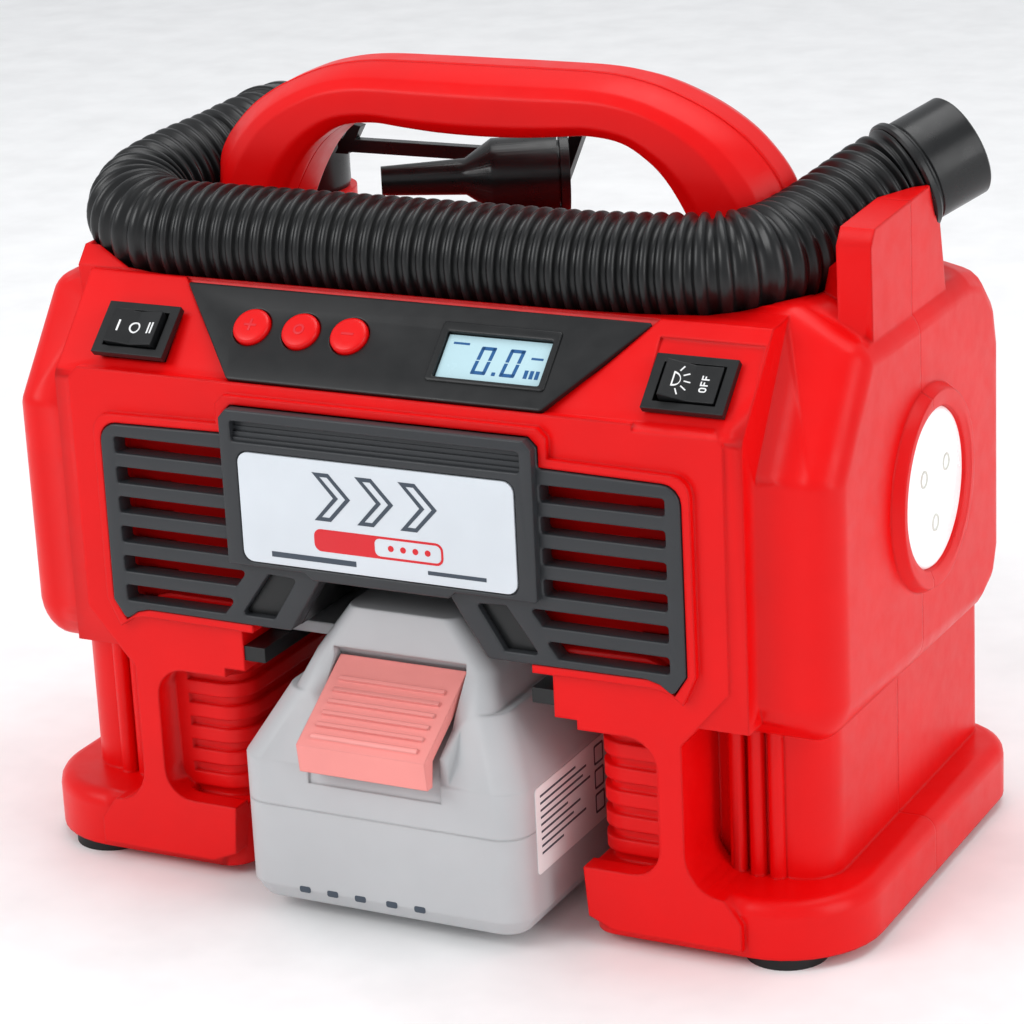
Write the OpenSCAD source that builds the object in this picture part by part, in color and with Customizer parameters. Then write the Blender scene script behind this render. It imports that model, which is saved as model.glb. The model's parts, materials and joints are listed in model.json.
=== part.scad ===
// Cordless twin-mode air compressor: clamshell housing on two skids, louvred front,
// inclined control deck, sliding battery pack, arched handle and corrugated inflation hose.
// X runs to the right, Y from front to back, Z up from the floor. Millimetres.

/* [Housing] */
// Width across the two skids
skid_w = 236; // [234:1:240]
// Width across the rounded side pods
pod_w = 230; // [228:1:232]
// Depth of the skids
skid_d = 130; // [128:1:134]
// Height of the flat housing top above the floor
top_z = 159; // [158:0.5:161]
// Thickness of the moulded walls
wall = 3; // [2.5:0.1:3.5]

/* [Control deck] */
// Slope of the control deck from level
deck_tilt = 43; // [41:0.5:45]
// Diameter of the push buttons
button_d = 10; // [9:0.1:10.4]
// Rocker switch bezel length
rocker_w = 21; // [20:0.1:22]
// Rocker switch bezel width
rocker_h = 15; // [14.5:0.1:15.5]

/* [Louvre panel] */
// Height of one louvre slot
slot_h = 4.3; // [3.8:0.1:4.6]
// Distance from one slot to the next
slot_pitch = 7.95; // [7.8:0.05:8.1]
// Number of slots on each side
slot_count = 6; // [4:1:6]

/* [Battery] */
// Width of the battery pack
pack_w = 80; // [78:1:82]
// Length of the battery pack from front to back
pack_d = 103; // [98:1:104]

/* [Hose] */
// Outside diameter of the corrugated hose
hose_d = 28; // [27:0.5:28.5]
// Outside diameter of the hose's end collars
collar_d = 26.6; // [26:0.1:28]

/* [Hidden] */
$fn = 48;

eps = 0.01;
mid_y = 62;                 // the frame's origin is this far behind the front plane
seam_y = 71;                // plane where the two housing halves meet
skid_x = skid_w / 2;
skid_front = 8;
skid_rear = skid_front + skid_d;
skid_lo = 3;
skid_hi = 18;
foot_r = 11;
pod_x = pod_w / 2;
pod_front = 13.5;
pod_rear = 133;
pod_lo = 57;
pod_hi = 152.5;               // outer top edge of a pod, lower than the middle
frame_y = 6;                // front face of the portal frame
frame_x = 90.5;
frame_top = 137;
column_in = 71;
column_out = 77.5;
bay_x = 50;
bay_rear = 100;
flange_gap = 44;            // half width of the slot that the pack's flanges slide in
deck_y = 6.8;
deck_z = 137.5;
deck_len = 28;
deck_x = 95;
ridge_r = 14.6;
port = [-84, 118.5, 175.5]; // middle of the elbow behind the handle
lamp_y = 76;
lamp_z = 104.5;
lamp_r = 20.4;
slot_top = 120.3;
slot_out = 76.4;
slot_in = 43.8;
label_x = 38.2;
vent_wall = 14.5;           // inner face of the housing wall behind the louvres
label_lo = 92.6;
label_hi = 121.1;
red = [0.90, 0.02, 0.03];
charcoal = [0.22, 0.23, 0.25];
black = [0.09, 0.10, 0.11];
ghost = [0.74, 0.74, 0.75];
pink = [0.96, 0.69, 0.67];
steel = [0.70, 0.71, 0.73];
brass = [0.80, 0.62, 0.28];

// Points of an arc about c, from angle a0 to a1
function arc(c, r, a0, a1, n = 6) =
    [for (i = [0:n]) c + r * [cos(a0 + (a1 - a0) * i / n), sin(a0 + (a1 - a0) * i / n)]];

// Rectangle between two corners, its own corners rounded to r
function round_rect(lo, hi, r) = concat(
    arc([hi[0] - r, hi[1] - r], r, 0, 90),
    arc([lo[0] + r, hi[1] - r], r, 90, 180),
    arc([lo[0] + r, lo[1] + r], r, 180, 270),
    arc([hi[0] - r, lo[1] + r], r, 270, 360));

// The same outline for x below zero, in the opposite order
function mirrored(pts) = [for (i = [len(pts) - 1:-1:0]) [-pts[i][0], pts[i][1]]];

// Moves the front-plane layout so that the origin is under the middle of the object
module placed() { translate([0, -mid_y, 0]) children(); }

// Extrudes an outline drawn in X and Z, from y0 back to y1
module across(y0, y1) {
    translate([0, y1, 0]) rotate([90, 0, 0]) linear_extrude(y1 - y0) children();
}

// Extrudes an outline drawn in Y and Z, from x0 to x1
module along_x(x0, x1) {
    translate([x0, 0, 0]) rotate([90, 0, 90]) linear_extrude(x1 - x0) children();
}

module both_sides() {
    children();
    mirror([1, 0, 0]) children();
}

module block(lo, hi) { translate(lo) cube(hi - lo); }

// Local X stays, local Y climbs the deck, local Z leaves it at right angles
module on_deck() { translate([0, deck_y, deck_z]) rotate([deck_tilt, 0, 0]) children(); }

// ---- hose route -------------------------------------------------------------------------

// Centre line of the corrugated hose, from its port at the rear left to its free end
HOSE_ROUTE = [
    [-84, 100, 175.5], [-84, 96.5, 175.5], [-85.6, 90.5, 174.8], [-88.7, 83.5, 173], [-92.5, 75, 171.4],
    [-95.5, 66, 169.8], [-96.5, 58, 168.2], [-94, 50, 166.4], [-88.5, 44.5, 165.2], [-81.5, 41.5, 164.5],
    [-73, 41, 164], [-60, 41, 164], [-40, 41, 164], [-20, 41, 164], [0, 41, 164],
    [20, 41, 164], [40, 41, 164], [58, 42, 164.5], [72, 44, 165], [80, 49, 165.5],
    [84, 56, 166], [87.5, 65, 167.5], [91.2, 74, 170], [94.8, 82.5, 173], [98, 89.7, 175.4],
    [101.6, 93.99, 177.53],
];

function unit(v) = v / norm(v);

// Direction of the route at point i
function route_dir(pts, i) = unit(pts[min(i + 1, len(pts) - 1)] - pts[max(i - 1, 0)]);

// Ring of n points of radius r round point i of the route
function ring(pts, i, r, n) =
    let (d = route_dir(pts, i), side = unit(cross([0, 0, 1], d)), up = cross(d, side))
    [for (k = [0:n - 1]) pts[i] + r * (cos(360 * k / n) * side + sin(360 * k / n) * up)];

// Closed tube of radius r swept along the route
module swept(pts, r, n = 12) {
    m = len(pts);
    polyhedron(
        points = [for (i = [0:m - 1]) each ring(pts, i, r, n)],
        faces = concat(
            [[for (k = [0:n - 1]) k]],
            [for (i = [0:m - 2], k = [0:n - 1])
                [i * n + k, (i + 1) * n + k, (i + 1) * n + (k + 1) % n, i * n + (k + 1) % n]],
            [[for (k = [n - 1:-1:0]) (m - 1) * n + k]]),
        convexity = 6);
}

// Turns local Z onto direction d at point p
module aimed(p, d) {
    translate(p) rotate([0, acos(d[2] / norm(d)), atan2(d[1], d[0])]) children();
}

// ---- outer form of the clamshell --------------------------------------------------------

// One corner of a skid: a disc whose top edge is rounded
module skid_corner(x, y, r) {
    edge = 4;
    translate([x, y, skid_lo]) rotate_extrude($fn = 40)
        polygon(concat([[0, 0], [r, 0]], arc([r - edge, skid_hi - skid_lo - edge], edge, 0, 90, 4),
                       [[0, skid_hi - skid_lo]]));
}

module skid() {
    hull() {
        skid_corner(skid_x - 25, skid_front + 25, 25);
        skid_corner(skid_x - 18, skid_rear - 18, 18);
        skid_corner(bay_x + 7, skid_front + 7, 7);
        skid_corner(bay_x + 7, skid_rear - 7, 7);
    }
}

// Plan of a pillar, pulled in by d on every side
function pillar_plan(d) = concat(
    arc([bay_x + 8, 22], 8 - d, 180, 270),
    [[column_out - d, 14 + d], [column_out - d, 28 + d]],
    arc([98, 34], 10 - d, 270, 360),
    arc([101, 127.5], 7 - d, 0, 90),
    arc([bay_x + 8, 124], 8 - d, 90, 180));

// Upright ridges and grooves on the outer front corner of a pillar
module pillar_flutes() {
    for (x = [84, 89.2, 94.4]) translate([x, 24.3, skid_lo + 2]) cylinder(r = 2.1, h = pod_lo, $fn = 20);
}

module pillar() {
    translate([0, 0, skid_lo + 2]) linear_extrude(pod_lo + 6) polygon(pillar_plan(0));
    pillar_flutes();
}

// Horizontal grooves that wrap round the inner front corner of a pillar
module pillar_grooves() {
    for (i = [0:5]) translate([0, 0, 19.7 + 6.4 * i]) linear_extrude(2.6) difference() {
        polygon([[bay_x - 1, 12], [67, 12], [67, 40], [64, 96], [bay_x - 1, 96]]);
        polygon(concat([[67, 15.6]], [for (p = arc([bay_x + 8, 22], 6.4, 270, 180)) p],
                       [[bay_x + 1.6, 97], [70, 97], [70, 15.6]]));
    }
}

// Rounded block of the side pods and the back; its rear edges are rounded widely in side view
module pod_block() {
    hull() both_sides() {
        translate([pod_x - 9, pod_front + 9, pod_lo + 12]) scale([1, 1, 12 / 9]) sphere(9, $fn = 32);
        translate([pod_x - 8, pod_front + 8.5, 121]) sphere(r = 8, $fn = 32);
        translate([pod_x - 8, 40, pod_hi - 8]) sphere(r = 8, $fn = 32);
        for (y = [42, 100]) translate([94, y, top_z - 8]) sphere(r = 8, $fn = 24);
        for (a = [0, 30, 60, 90])
            translate([pod_x - 8, pod_rear - 26 + 18 * cos(a), pod_hi - 26 + 18 * sin(a)])
                sphere(r = 8, $fn = 24);
        for (a = [0, 45, 90])
            translate([pod_x - 8, pod_rear - 17 + 9 * cos(a), pod_lo + 17 - 9 * sin(a)])
                sphere(r = 8, $fn = 24);
    }
}

// Side view of the raised middle: front face, control deck, hose cradle and top
module deck_block() {
    top_y = deck_y + deck_len * cos(deck_tilt);
    top_edge = deck_z + deck_len * sin(deck_tilt);
    along_x(-deck_x, deck_x) polygon(concat(
        [[20, 62], [frame_y + 1, 62]],
        arc([frame_y + 5, deck_z - 4.6], 4, 180, 90 + deck_tilt, 4),
        [[top_y, top_edge], [top_y + 4, top_edge], [60, top_z + 1], [88, top_z + 1], [96, 150], [96, 62]]));
}

// Right half of the portal frame's outline, from the top down to the skid
function frame_half() = concat(
    [[0, frame_top], [frame_x - 3, frame_top], [frame_x, frame_top - 3], [frame_x, 72]],
    [[column_out, 57]],
    arc([column_out + 10, skid_hi + 10], 10, 180, 270),
    [[92, skid_hi - 6], [92, skid_lo + 2], [58, skid_lo + 2]],
    [[bay_x + 1, skid_lo + 5], [bay_x, 21]],
    arc([column_in - 8, 21 + 8], 8, 270, 360),
    arc([column_in - 8, 49.5], 8, 0, 90),
    [[44, 57.5], [44, 60]], [[0, 60]]);

module portal_frame() {
    across(frame_y, 26) polygon(concat(frame_half(), mirrored(frame_half())));
}

// Tall guide that keeps the hose's free end on the housing
module horn() {
    along_x(104, 112.8) polygon([
        [45.5, 140], [44.5, 173], [47.5, 177], [85.5, 179], [89.5, 175], [97, 140]]);
    along_x(84, 106) polygon([[56, 140], [54, 165], [58, 167], [80, 167], [86, 140]]);
}

// Left flank of the hose cradle
module cradle_flank() {
    along_x(-100, -60) polygon([[30, 140], [29, 157], [33, 161.5], [60, 162], [60, 140]]);
}

module lamp_ring() {
    translate([pod_x - 6, lamp_y, lamp_z]) rotate([0, 90, 0]) rotate_extrude($fn = 64)
        polygon([[0, 0], [27, 0], [26.4, 6.6], [25, 9], [23, 9], [lamp_r + 0.3, 8], [0, 8]]);
}

// Boss that the hose elbow stands on
module port_boss() {
    translate([port[0], port[1], 130]) cylinder(r = 14.5, h = 28);
}

module housing_form() {
    pod_block();
    port_boss();
    deck_block();
    portal_frame();
    both_sides() { skid(); pillar(); }
    horn();
    cradle_flank();
    lamp_ring();
}

// ---- hollows of the clamshell -----------------------------------------------------------

function arch_half(d) = [[0, 89.3 + d], [18 + 0.7 * d, 89.3 + d], [27.8 + 0.9 * d, 74 + d],
                         [37.5 + d, 72 + d], [37.5 + d, 60]];

module battery_bay() {
    block([-bay_x, -20, -1], [bay_x, bay_rear, 60]);
    block([-flange_gap, -20, 58], [flange_gap, bay_rear, 71.4]);
    across(-20, bay_rear) polygon(concat(arch_half(2.4), mirrored(arch_half(2.4))));
}

// Space inside the shell, kept one wall away from the outside and from the bay
module housing_hollow() {
    roof = 146;
    difference() {
        union() {
            block([-pod_x + wall + 6, pod_front + wall + 3, pod_lo + wall], [pod_x - wall - 6, 111, 119]);
            block([-pod_x + wall + 6, 40, pod_lo + 20], [pod_x - wall - 6, 112, 141]);
            block([-96, 40, pod_lo + 20], [96, 114, roof]);
            block([-pod_x + wall + 9, 100, pod_lo + 20], [pod_x - wall - 9, pod_rear - wall - 2.5, 132]);
            along_x(-88, 88) polygon([
                [vent_wall, 76], [vent_wall, 130], [30, 146], [40, 146], [40, 76]]);
            both_sides() translate([0, 0, skid_hi]) linear_extrude(pod_lo - 10) polygon(pillar_plan(wall));
        }
        across(-20, bay_rear + wall) polygon(concat(arch_half(5.4), mirrored(arch_half(5.4))));
        block([-bay_x - wall, -20, -1], [bay_x + wall, bay_rear + wall, 74.4]);
        swept(HOSE_ROUTE, hose_d / 2 + wall);
    }
}

// Right half of the louvre panel's outline, pulled in by d
function panel_half(d) = concat(
    [[0, 131.7 - d], [41 - d, 131.7 - d], [43.4 - d, 129.4 - d], [43.4 - d, 124.2 - d]],
    arc([75.5 - d, 118.8 - d], 4.8, 90, 0, 4),
    [[80.5 - d, 76], [77 - d, 70.9 + d], [73.5 - d, 73.4 + d], [70 - d, 74.3 + d], [27.8, 74 + d]],
    [[18, 89.3 + d]], [[0, 89.3 + d]]);

// Raised rim that surrounds the louvre panel
module panel_rim() {
    difference() {
        across(frame_y - 2, frame_y + 2) polygon(concat(panel_half(-2.4), mirrored(panel_half(-2.4))));
        across(-5, 12) polygon(concat(panel_half(-0.3), mirrored(panel_half(-0.3))));
        across(-5, 30) polygon(concat(arch_half(2), mirrored(arch_half(2))));
    }
}

module panel_pocket() {
    across(-5, frame_y + 3.2) polygon(concat(panel_half(-0.3), mirrored(panel_half(-0.3))));
    across(-5, vent_wall - 2.5) polygon(concat(panel_half(3), mirrored(panel_half(3))));
    both_sides() for (i = [0:slot_count - 1]) let (lo = slot_top - slot_h - slot_pitch * i)
        across(5, vent_wall + 5) polygon([[65.5, lo - 4.2], [77, lo - 4.2], [77, lo - 1.2], [65.5, lo - 1.2]]);
}

// Trapezoid of the control panel on the deck, grown by d
function deck_panel(d) = [[-43.4 - d, -d], [43.4 + d, -d], [66 + d, 28 + d], [-66 - d, 28 + d]];

// Centres of the two switches on the deck
LEFT_SWITCH = [-73.3, 10.6];
RIGHT_SWITCH = [79, 11];

module deck_pockets() {
    on_deck() {
        translate([0, 0, -1.4]) linear_extrude(6) polygon(deck_panel(0.2));
        translate([0, 0, -30]) linear_extrude(40) polygon([[-43.5, 3], [43.5, 3], [60, 25], [-60, 25]]);
        for (c = [LEFT_SWITCH, RIGHT_SWITCH])
            translate([c[0] - 9.6, c[1] - 6.6, -30]) cube([19.2, 13.2, 40]);
        translate([RIGHT_SWITCH[0] - 11.6, -3, -1.2]) cube([27, 26.5, 6]);
    }
}

module lamp_pocket() {
    translate([pod_x - 10, lamp_y, lamp_z]) rotate([0, 90, 0]) cylinder(r = lamp_r - 1.5, h = 30);
    translate([pod_x - 1.6, lamp_y, lamp_z]) rotate([0, 90, 0]) cylinder(r = lamp_r + 0.2, h = 30);
}

SCREW_SPOTS = [
    [-104, 70], [104, 70], [-104, 134], [104, 140], [-50, 145], [40, 145], [-56.5, 64.5], [56.5, 64.5],
];

// Screw towers inside one half, from y0 to y1
module screw_posts(y0, y1) {
    for (p = SCREW_SPOTS) translate([p[0], y1, p[1]]) rotate([90, 0, 0]) cylinder(r = 4, h = y1 - y0, $fn = 24);
}

module screw_holes(r, y0, y1) {
    for (p = SCREW_SPOTS) translate([p[0], y1, p[1]]) rotate([90, 0, 0]) cylinder(r = r, h = y1 - y0, $fn = 24);
}

module foot_sockets() {
    both_sides() for (y = [skid_front + 12, skid_rear - 22])
        translate([98, y, skid_lo - 1]) cylinder(r = foot_r - 2.5, h = 3, $fn = 32);
}

// Room for the hose and the collar on its free end
module hose_room() {
    swept(HOSE_ROUTE, hose_d / 2 + 0.6);
    aimed(FREE_END, FREE_DIR) cylinder(r = ridge_r + 0.5, h = 40);
}

module housing_cuts() {
    housing_hollow();
    battery_bay();
    both_sides() pillar_grooves();
    hose_room();
    deck_pockets();
    lamp_pocket();
    foot_sockets();
}

module front_housing() {
    color(red) placed() difference() {
        union() {
            difference() {
                intersection() {
                    housing_form();
                    block([-150, -20, 0], [150, seam_y, 220]);
                }
                housing_cuts();
                panel_pocket();
            }
            panel_rim();
            screw_posts(58, seam_y);
        }
        screw_holes(2.05, 60, 80);
    }
}

module rear_housing() {
    color(red) placed() difference() {
        union() {
            difference() {
                intersection() {
                    housing_form();
                    block([-150, seam_y, 0], [150, 200, 220]);
                }
                housing_cuts();
            }
            intersection() {
                screw_posts(seam_y, 130);
                pod_block();
            }
        }
        screw_holes(2.2, 60, 140);
        screw_holes(4.2, 122, 160);
        translate([port[0], port[1], 120]) cylinder(r = 10.3, h = 60);
        for (z = [86:7:121]) for (x = [-62, 18]) block([x, 126, z], [x + 44, 140, z + 3]);
        translate([30, 140, 74]) rotate([90, 0, 0]) cylinder(r = 5.2, h = 32, $fn = 32);
        block([-6.2, RACK_Y - 1.7, 155], [0.2, RACK_Y + 1.7, 170]);
    }
}

// ---- handle -----------------------------------------------------------------------------

// Right half of the handle's outline: outer edge up to the top, then back along the inner edge
HANDLE_OUTER = [[83, 158], [82.6, 171], [80.2, 180.8], [72.4, 190.3], [63.4, 196.7],
    [53.4, 201.3], [44.3, 204.2], [33, 205.9], [0, 206.2]];
HANDLE_INNER = [[0, 188.6], [12, 188.9], [22, 189.7], [30, 190.4], [38.7, 189.4], [44.8, 186.4],
    [50.9, 181], [56.8, 171.6], [62.8, 158]];

// The arch, its top crowned from front to back
module handle_form(y0, y1) {
    half = concat(HANDLE_OUTER, HANDLE_INNER);
    intersection() {
        across(y0, y1) polygon(concat(half, mirrored(half)));
        along_x(-100, 100) polygon(concat(
            [[61, 150]], arc([68, 199.1], 7, 180, 95), arc([78.5, 198.7], 7.5, 88, 0), [[86, 150]]));
    }
}

module handle_half(y0, y1) {
    difference() {
        handle_form(y0, y1);
        block([-100, y0 - 5, 150], [100, y1 + 5, top_z + 1]);
        hose_room();
    }
}

module handle_front() { color(red) placed() handle_half(61, seam_y); }
module handle_rear() { color(red) placed() handle_half(seam_y, 86); }

// ---- front trim -------------------------------------------------------------------------

// One louvre slot; the two lowest have slanted inner ends
module louvre_slot(i) {
    hi = slot_top - slot_pitch * i;
    lo = hi - slot_h;
    near = i < 4 ? [slot_in, slot_in] : i == 4 ? [39.5, 43] : [43.5, 47];
    polygon([[near[0], hi], [slot_out, hi], [slot_out, lo], [near[1], lo]]);
}

module louvre_panel() {
    color(charcoal) placed() difference() {
        union() {
            across(3.4, frame_y + 3) polygon(concat(panel_half(0), mirrored(panel_half(0))));
            across(0.8, frame_y) polygon(concat(bezel_half(), mirrored(bezel_half())));
        }
        both_sides() for (i = [0:slot_count - 1]) across(-1, 20) louvre_slot(i);
        across(-1, 3.8) polygon(round_rect([-40, 123.6], [40, 128.8], 1));
        across(-1, 1.6) polygon(round_rect([-label_x - 0.3, label_lo - 0.3], [label_x + 0.3, label_hi + 0.3], 3));
        both_sides() across(-1, 5.6) polygon([[25.2, 88], [33.4, 88.4], [42, 76.6], [32.4, 76.6]]);
    }
}

// Right half of the raised label bezel
function bezel_half() = [[0, 131.7], [41, 131.7], [43.2, 129.4], [43.2, 91], [21, 91], [19, 89.3], [0, 89.3]];

module label_plate() {
    color([0.82, 0.85, 0.88]) placed()
        across(0.7, 1.6) polygon(round_rect([-label_x, label_lo], [label_x, label_hi], 2.8));
}

// Black tunnel that lines the battery bay's arch
module bay_liner() {
    color(black) placed() difference() {
        across(frame_y + 3, bay_rear - 1) polygon(concat(arch_half(2.2), mirrored(arch_half(2.2))));
        across(-10, bay_rear - 4) polygon(concat(arch_half(0), mirrored(arch_half(0))));
        block([-60, -10, 50], [60, 200, 71.6]);
    }
}

// Two rails that the pack's grooves slide along
module bay_rails() {
    color(black) placed() both_sides() block([37.9, 6.4, 62.9], [flange_gap, 98, 66.8]);
}

module terminal_block() {
    color(black) placed() {
        block([-26, 88, 66], [26, 95.8, 76]);
        for (x = [-15, -5, 5, 15]) block([x - 0.5, 72, 67.5], [x + 0.5, 89, 71.5]);
    }
}

// ---- control deck -----------------------------------------------------------------------

BUTTON_X = [-41.5, -27.5, -13.7];
BUTTON_S = 15.1;

module control_panel() {
    color(black) placed() on_deck() difference() {
        translate([0, 0, -1.4]) linear_extrude(1.9) polygon(deck_panel(0));
        for (x = BUTTON_X) translate([x, BUTTON_S, -5]) cylinder(r = button_d / 2 + 0.3, h = 10);
        translate([0, 0, -5]) linear_extrude(10) polygon([[12.4, 6.2], [41.2, 6.2], [41.2, 19.1], [12.4, 19.1]]);
        translate([-200, 26.6, -5]) cube([400, 20, 20]);
    }
}

module display_module() {
    color([0.68, 0.80, 0.83]) placed() on_deck()
        translate([12.7, 6.5, -3.5]) cube([28.2, 12.3, 3.3]);
}

module display_board() {
    color([0.10, 0.40, 0.20]) placed() on_deck() translate([-42, 4, -8.5]) cube([84, 20, 1.6]);
}

module push_button(x) {
    color(red) placed() on_deck() translate([x, BUTTON_S, -4.4]) {
        cylinder(r = button_d / 2, h = 6.2);
        cylinder(r = 6.2, h = 1.4);
    }
}

module button_plus() { push_button(BUTTON_X[0]); }
module button_mode() { push_button(BUTTON_X[1]); }
module button_minus() { push_button(BUTTON_X[2]); }

// Snap-in switch case with its bezel; the seat is the height of the surface it rests on
module switch_body(c, seat) {
    color(black) placed() on_deck() translate([c[0], c[1], seat]) difference() {
        union() {
            translate([-rocker_w / 2, -rocker_h / 2, 0]) cube([rocker_w, rocker_h, 2]);
            translate([-9.4, -6.4, -13]) cube([18.8, 12.8, 14]);
            for (x = [-6, 0, 6]) translate([x - 0.4, -2.4, -20]) cube([0.8, 4.8, 8]);
        }
        translate([-8, -5.4, -6]) cube([16, 10.8, 10]);
    }
}

// Rocker paddle with a shallow V top, tipped by a degrees about its pivot
module paddle(c, seat, a) {
    color(black) placed() on_deck() translate([c[0], c[1], seat - 1]) rotate([0, a, 0]) rotate([90, 0, 0])
        translate([0, 0, -4.9]) linear_extrude(9.8)
            polygon([[-7, 1.4], [-6.9, 4.6], [0, 3.4], [6.9, 4.6], [7, 1.4], [2.5, -2.5], [-2.5, -2.5]]);
}

module left_switch_body() { switch_body(LEFT_SWITCH, 0); }
module left_rocker() { paddle(LEFT_SWITCH, 0, 0); }
module right_switch_body() { switch_body(RIGHT_SWITCH, -1.2); }
module right_rocker() { paddle(RIGHT_SWITCH, -1.2, 9); }

// ---- lamp, feet and screws --------------------------------------------------------------

module lamp_lens() {
    color([0.94, 0.94, 0.93]) placed() translate([pod_x - 1.6, lamp_y, lamp_z]) rotate([0, 90, 0])
        cylinder(r = lamp_r, h = 3.2);
}

module lamp_board() {
    color([0.85, 0.86, 0.84]) placed() translate([pod_x - 6, lamp_y, lamp_z]) rotate([0, 90, 0]) {
        cylinder(r = lamp_r - 2, h = 1.6);
        for (a = [60, 180, 300]) rotate([0, 0, a]) translate([9, 0, 1.5]) cylinder(r = 2.2, h = 2.4, $fn = 24);
    }
}

module rubber_feet() {
    color(black) placed() both_sides() for (y = [skid_front + 12, skid_rear - 22]) translate([98, y, 0]) difference() {
        union() {
            cylinder(r = foot_r - 0.6, h = skid_lo);
            cylinder(r = foot_r - 2.6, h = skid_lo + 1.6);
        }
        translate([0, 0, -1]) cylinder(r = 4, h = 3.2, $fn = 32);
        translate([0, 0, 2]) cylinder(r = 3.5, h = 1.92, $fn = 32);
        translate([0, 0, 3]) cylinder(r = 1.65, h = 4, $fn = 24);
    }
}

module foot_screws() {
    color(steel) placed() both_sides() for (y = [skid_front + 12, skid_rear - 22]) translate([98, y, 2.3]) {
        cylinder(r = 3.4, h = 1.6, $fn = 24);
        cylinder(r = 1.6, h = 2.3, $fn = 24);
    }
}

module housing_screws() {
    color(steel) placed() for (p = SCREW_SPOTS) translate([p[0], 122, p[1]]) rotate([90, 0, 0]) {
        cylinder(r = 2, h = 60, $fn = 24);
        translate([0, 0, -2.4]) cylinder(r = 3.8, h = 2.4, $fn = 24);
    }
}

// ---- hose and its fittings --------------------------------------------------------------

module hose() { color(black) placed() swept(HOSE_ROUTE, hose_d / 2, 12); }

FREE_END = HOSE_ROUTE[len(HOSE_ROUTE) - 1];
FREE_DIR = FREE_END - HOSE_ROUTE[len(HOSE_ROUTE) - 2];
PORT_END = HOSE_ROUTE[0];
collar_bore = 11.9;

// Sleeve with a ridge at its hose end and a bore at its mouth
module collar(length, ridge, sleeve) {
    difference() {
        union() {
            cylinder(r = sleeve, h = length);
            cylinder(r = ridge, h = 2.5);
        }
        translate([0, 0, 2]) cylinder(r = collar_bore, h = length);
    }
}

// The free end's sleeve has four bayonet notches at its mouth
module hose_end_collar() {
    color(black) placed() aimed(FREE_END, FREE_DIR) difference() {
        collar(18, ridge_r, collar_d / 2);
        for (a = [20:90:290]) rotate([0, 0, a]) translate([12.5, -2.5, 14]) cube([10, 5, 10]);
    }
}

module hose_port_collar() { color(black) placed() aimed(PORT_END, [0, 1, 0]) collar(8, hose_d / 2 + 0.4, 13.6); }

// Elbow that rises from the blower outlet and turns forward into the hose collar
module hose_port() {
    back = port[1] - 1;
    color(black) placed() difference() {
        union() {
            translate([port[0], 102.3, port[2]]) rotate([-90, 0, 0]) cylinder(r = 12.4, h = back - 102.3);
            translate([port[0], 108.4, port[2]]) rotate([-90, 0, 0]) cylinder(r = 13.8, h = 2.6);
            translate(port) sphere(r = 13.2);
            translate([port[0], port[1], 159.3]) cylinder(r = 12.4, h = port[2] - 159.3);
            translate([port[0], port[1], 132]) cylinder(r = 10, h = port[2] - 132);
        }
        translate([port[0], 100, port[2]]) rotate([-90, 0, 0]) cylinder(r = 9, h = port[1] - 100);
        translate([port[0], port[1], 130]) cylinder(r = 7.5, h = port[2] - 130);
    }
}

// ---- rear nozzle rack -------------------------------------------------------------------

RACK_Y = 112;
MOUTH = 46;                  // length of the cone nozzle

// Places the cone's own axis: its tip at the front left, its mouth at the back right
module on_rack() { translate([-36.7, 78.4, 171.7]) rotate([0, 90, 29]) children(); }

// Slanted post, cross bar with a hook at its end, and the peg that the cone is pushed on
module nozzle_rack() {
    color(black) placed() {
        block([-6, RACK_Y - 1.5, 155.5], [0, RACK_Y + 1.5, 160.5]);
        across(RACK_Y - 1.5, RACK_Y + 1.5)
            polygon([[-6, 160], [-1.6, 160], [7, 180.5], [3.2, 180.5]]);
        block([-68, RACK_Y - 1.5, 170.6], [2, RACK_Y + 1.5, 174.2]);
        across(RACK_Y - 1.5, RACK_Y + 1.5)
            polygon([[-69, 170], [-65, 170], [-60.4, 178], [-63.6, 178.5]]);
        on_rack() translate([0, 0, MOUTH + 0.6]) cylinder(r = 10.4, h = 2.4);
        on_rack() translate([0, 0, MOUTH - 11]) cylinder(r = 8.2, h = 13);
    }
}

// Hollow cone nozzle with a slanted tip
module nozzle_cone() {
    color(black) placed() on_rack() difference() {
        rotate_extrude() polygon([
            [2.2, 0], [3.8, 0], [4.8, 22], [9.6, 29], [10, MOUTH],
            [8.6, MOUTH], [8.5, 30.5], [3.2, 22.5]]);
        translate([-10, -10, -2]) rotate([0, 20, 0]) cube([20, 20, 2.4]);
    }
}

// ---- compressed air parts at the back ---------------------------------------------------

module air_outlet() {
    color(brass) placed() translate([30, 118, 74]) rotate([-90, 0, 0]) difference() {
        union() {
            cylinder(r = 5, h = 20);
            translate([0, 0, 15]) cylinder(r = 7, h = 3, $fn = 6);
        }
        translate([0, 0, 6]) cylinder(r = 3, h = 20);
    }
}

// Route of the small high-pressure line, from the cylinder head to the outlet
AIR_ROUTE = [[20, 112, 110], [20, 117, 110], [21, 120, 106], [24, 121, 98], [28, 120.5, 88],
             [30, 120, 80], [30, 119, 74]];

module air_line() { color(black) placed() swept(AIR_ROUTE, 3, 8); }

// ---- battery pack -----------------------------------------------------------------------

pack_x = pack_w / 2;
pack_front = -8;
pack_rear = pack_front + pack_d;
pack_lo = 4.7;
pack_seam = 31;
pack_shoulder = 43;
cell_r = 9.2;
blade_x = [-15, -5, 5, 15];

// Rounded slab of the pack's plan, drawn in by d at the sides and front
module pack_slab(d, front, rear, z0, z1, r) {
    translate([0, 0, z0]) linear_extrude(z1 - z0)
        polygon(round_rect([-pack_x + d, front], [pack_x - d, rear], r));
}

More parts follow.
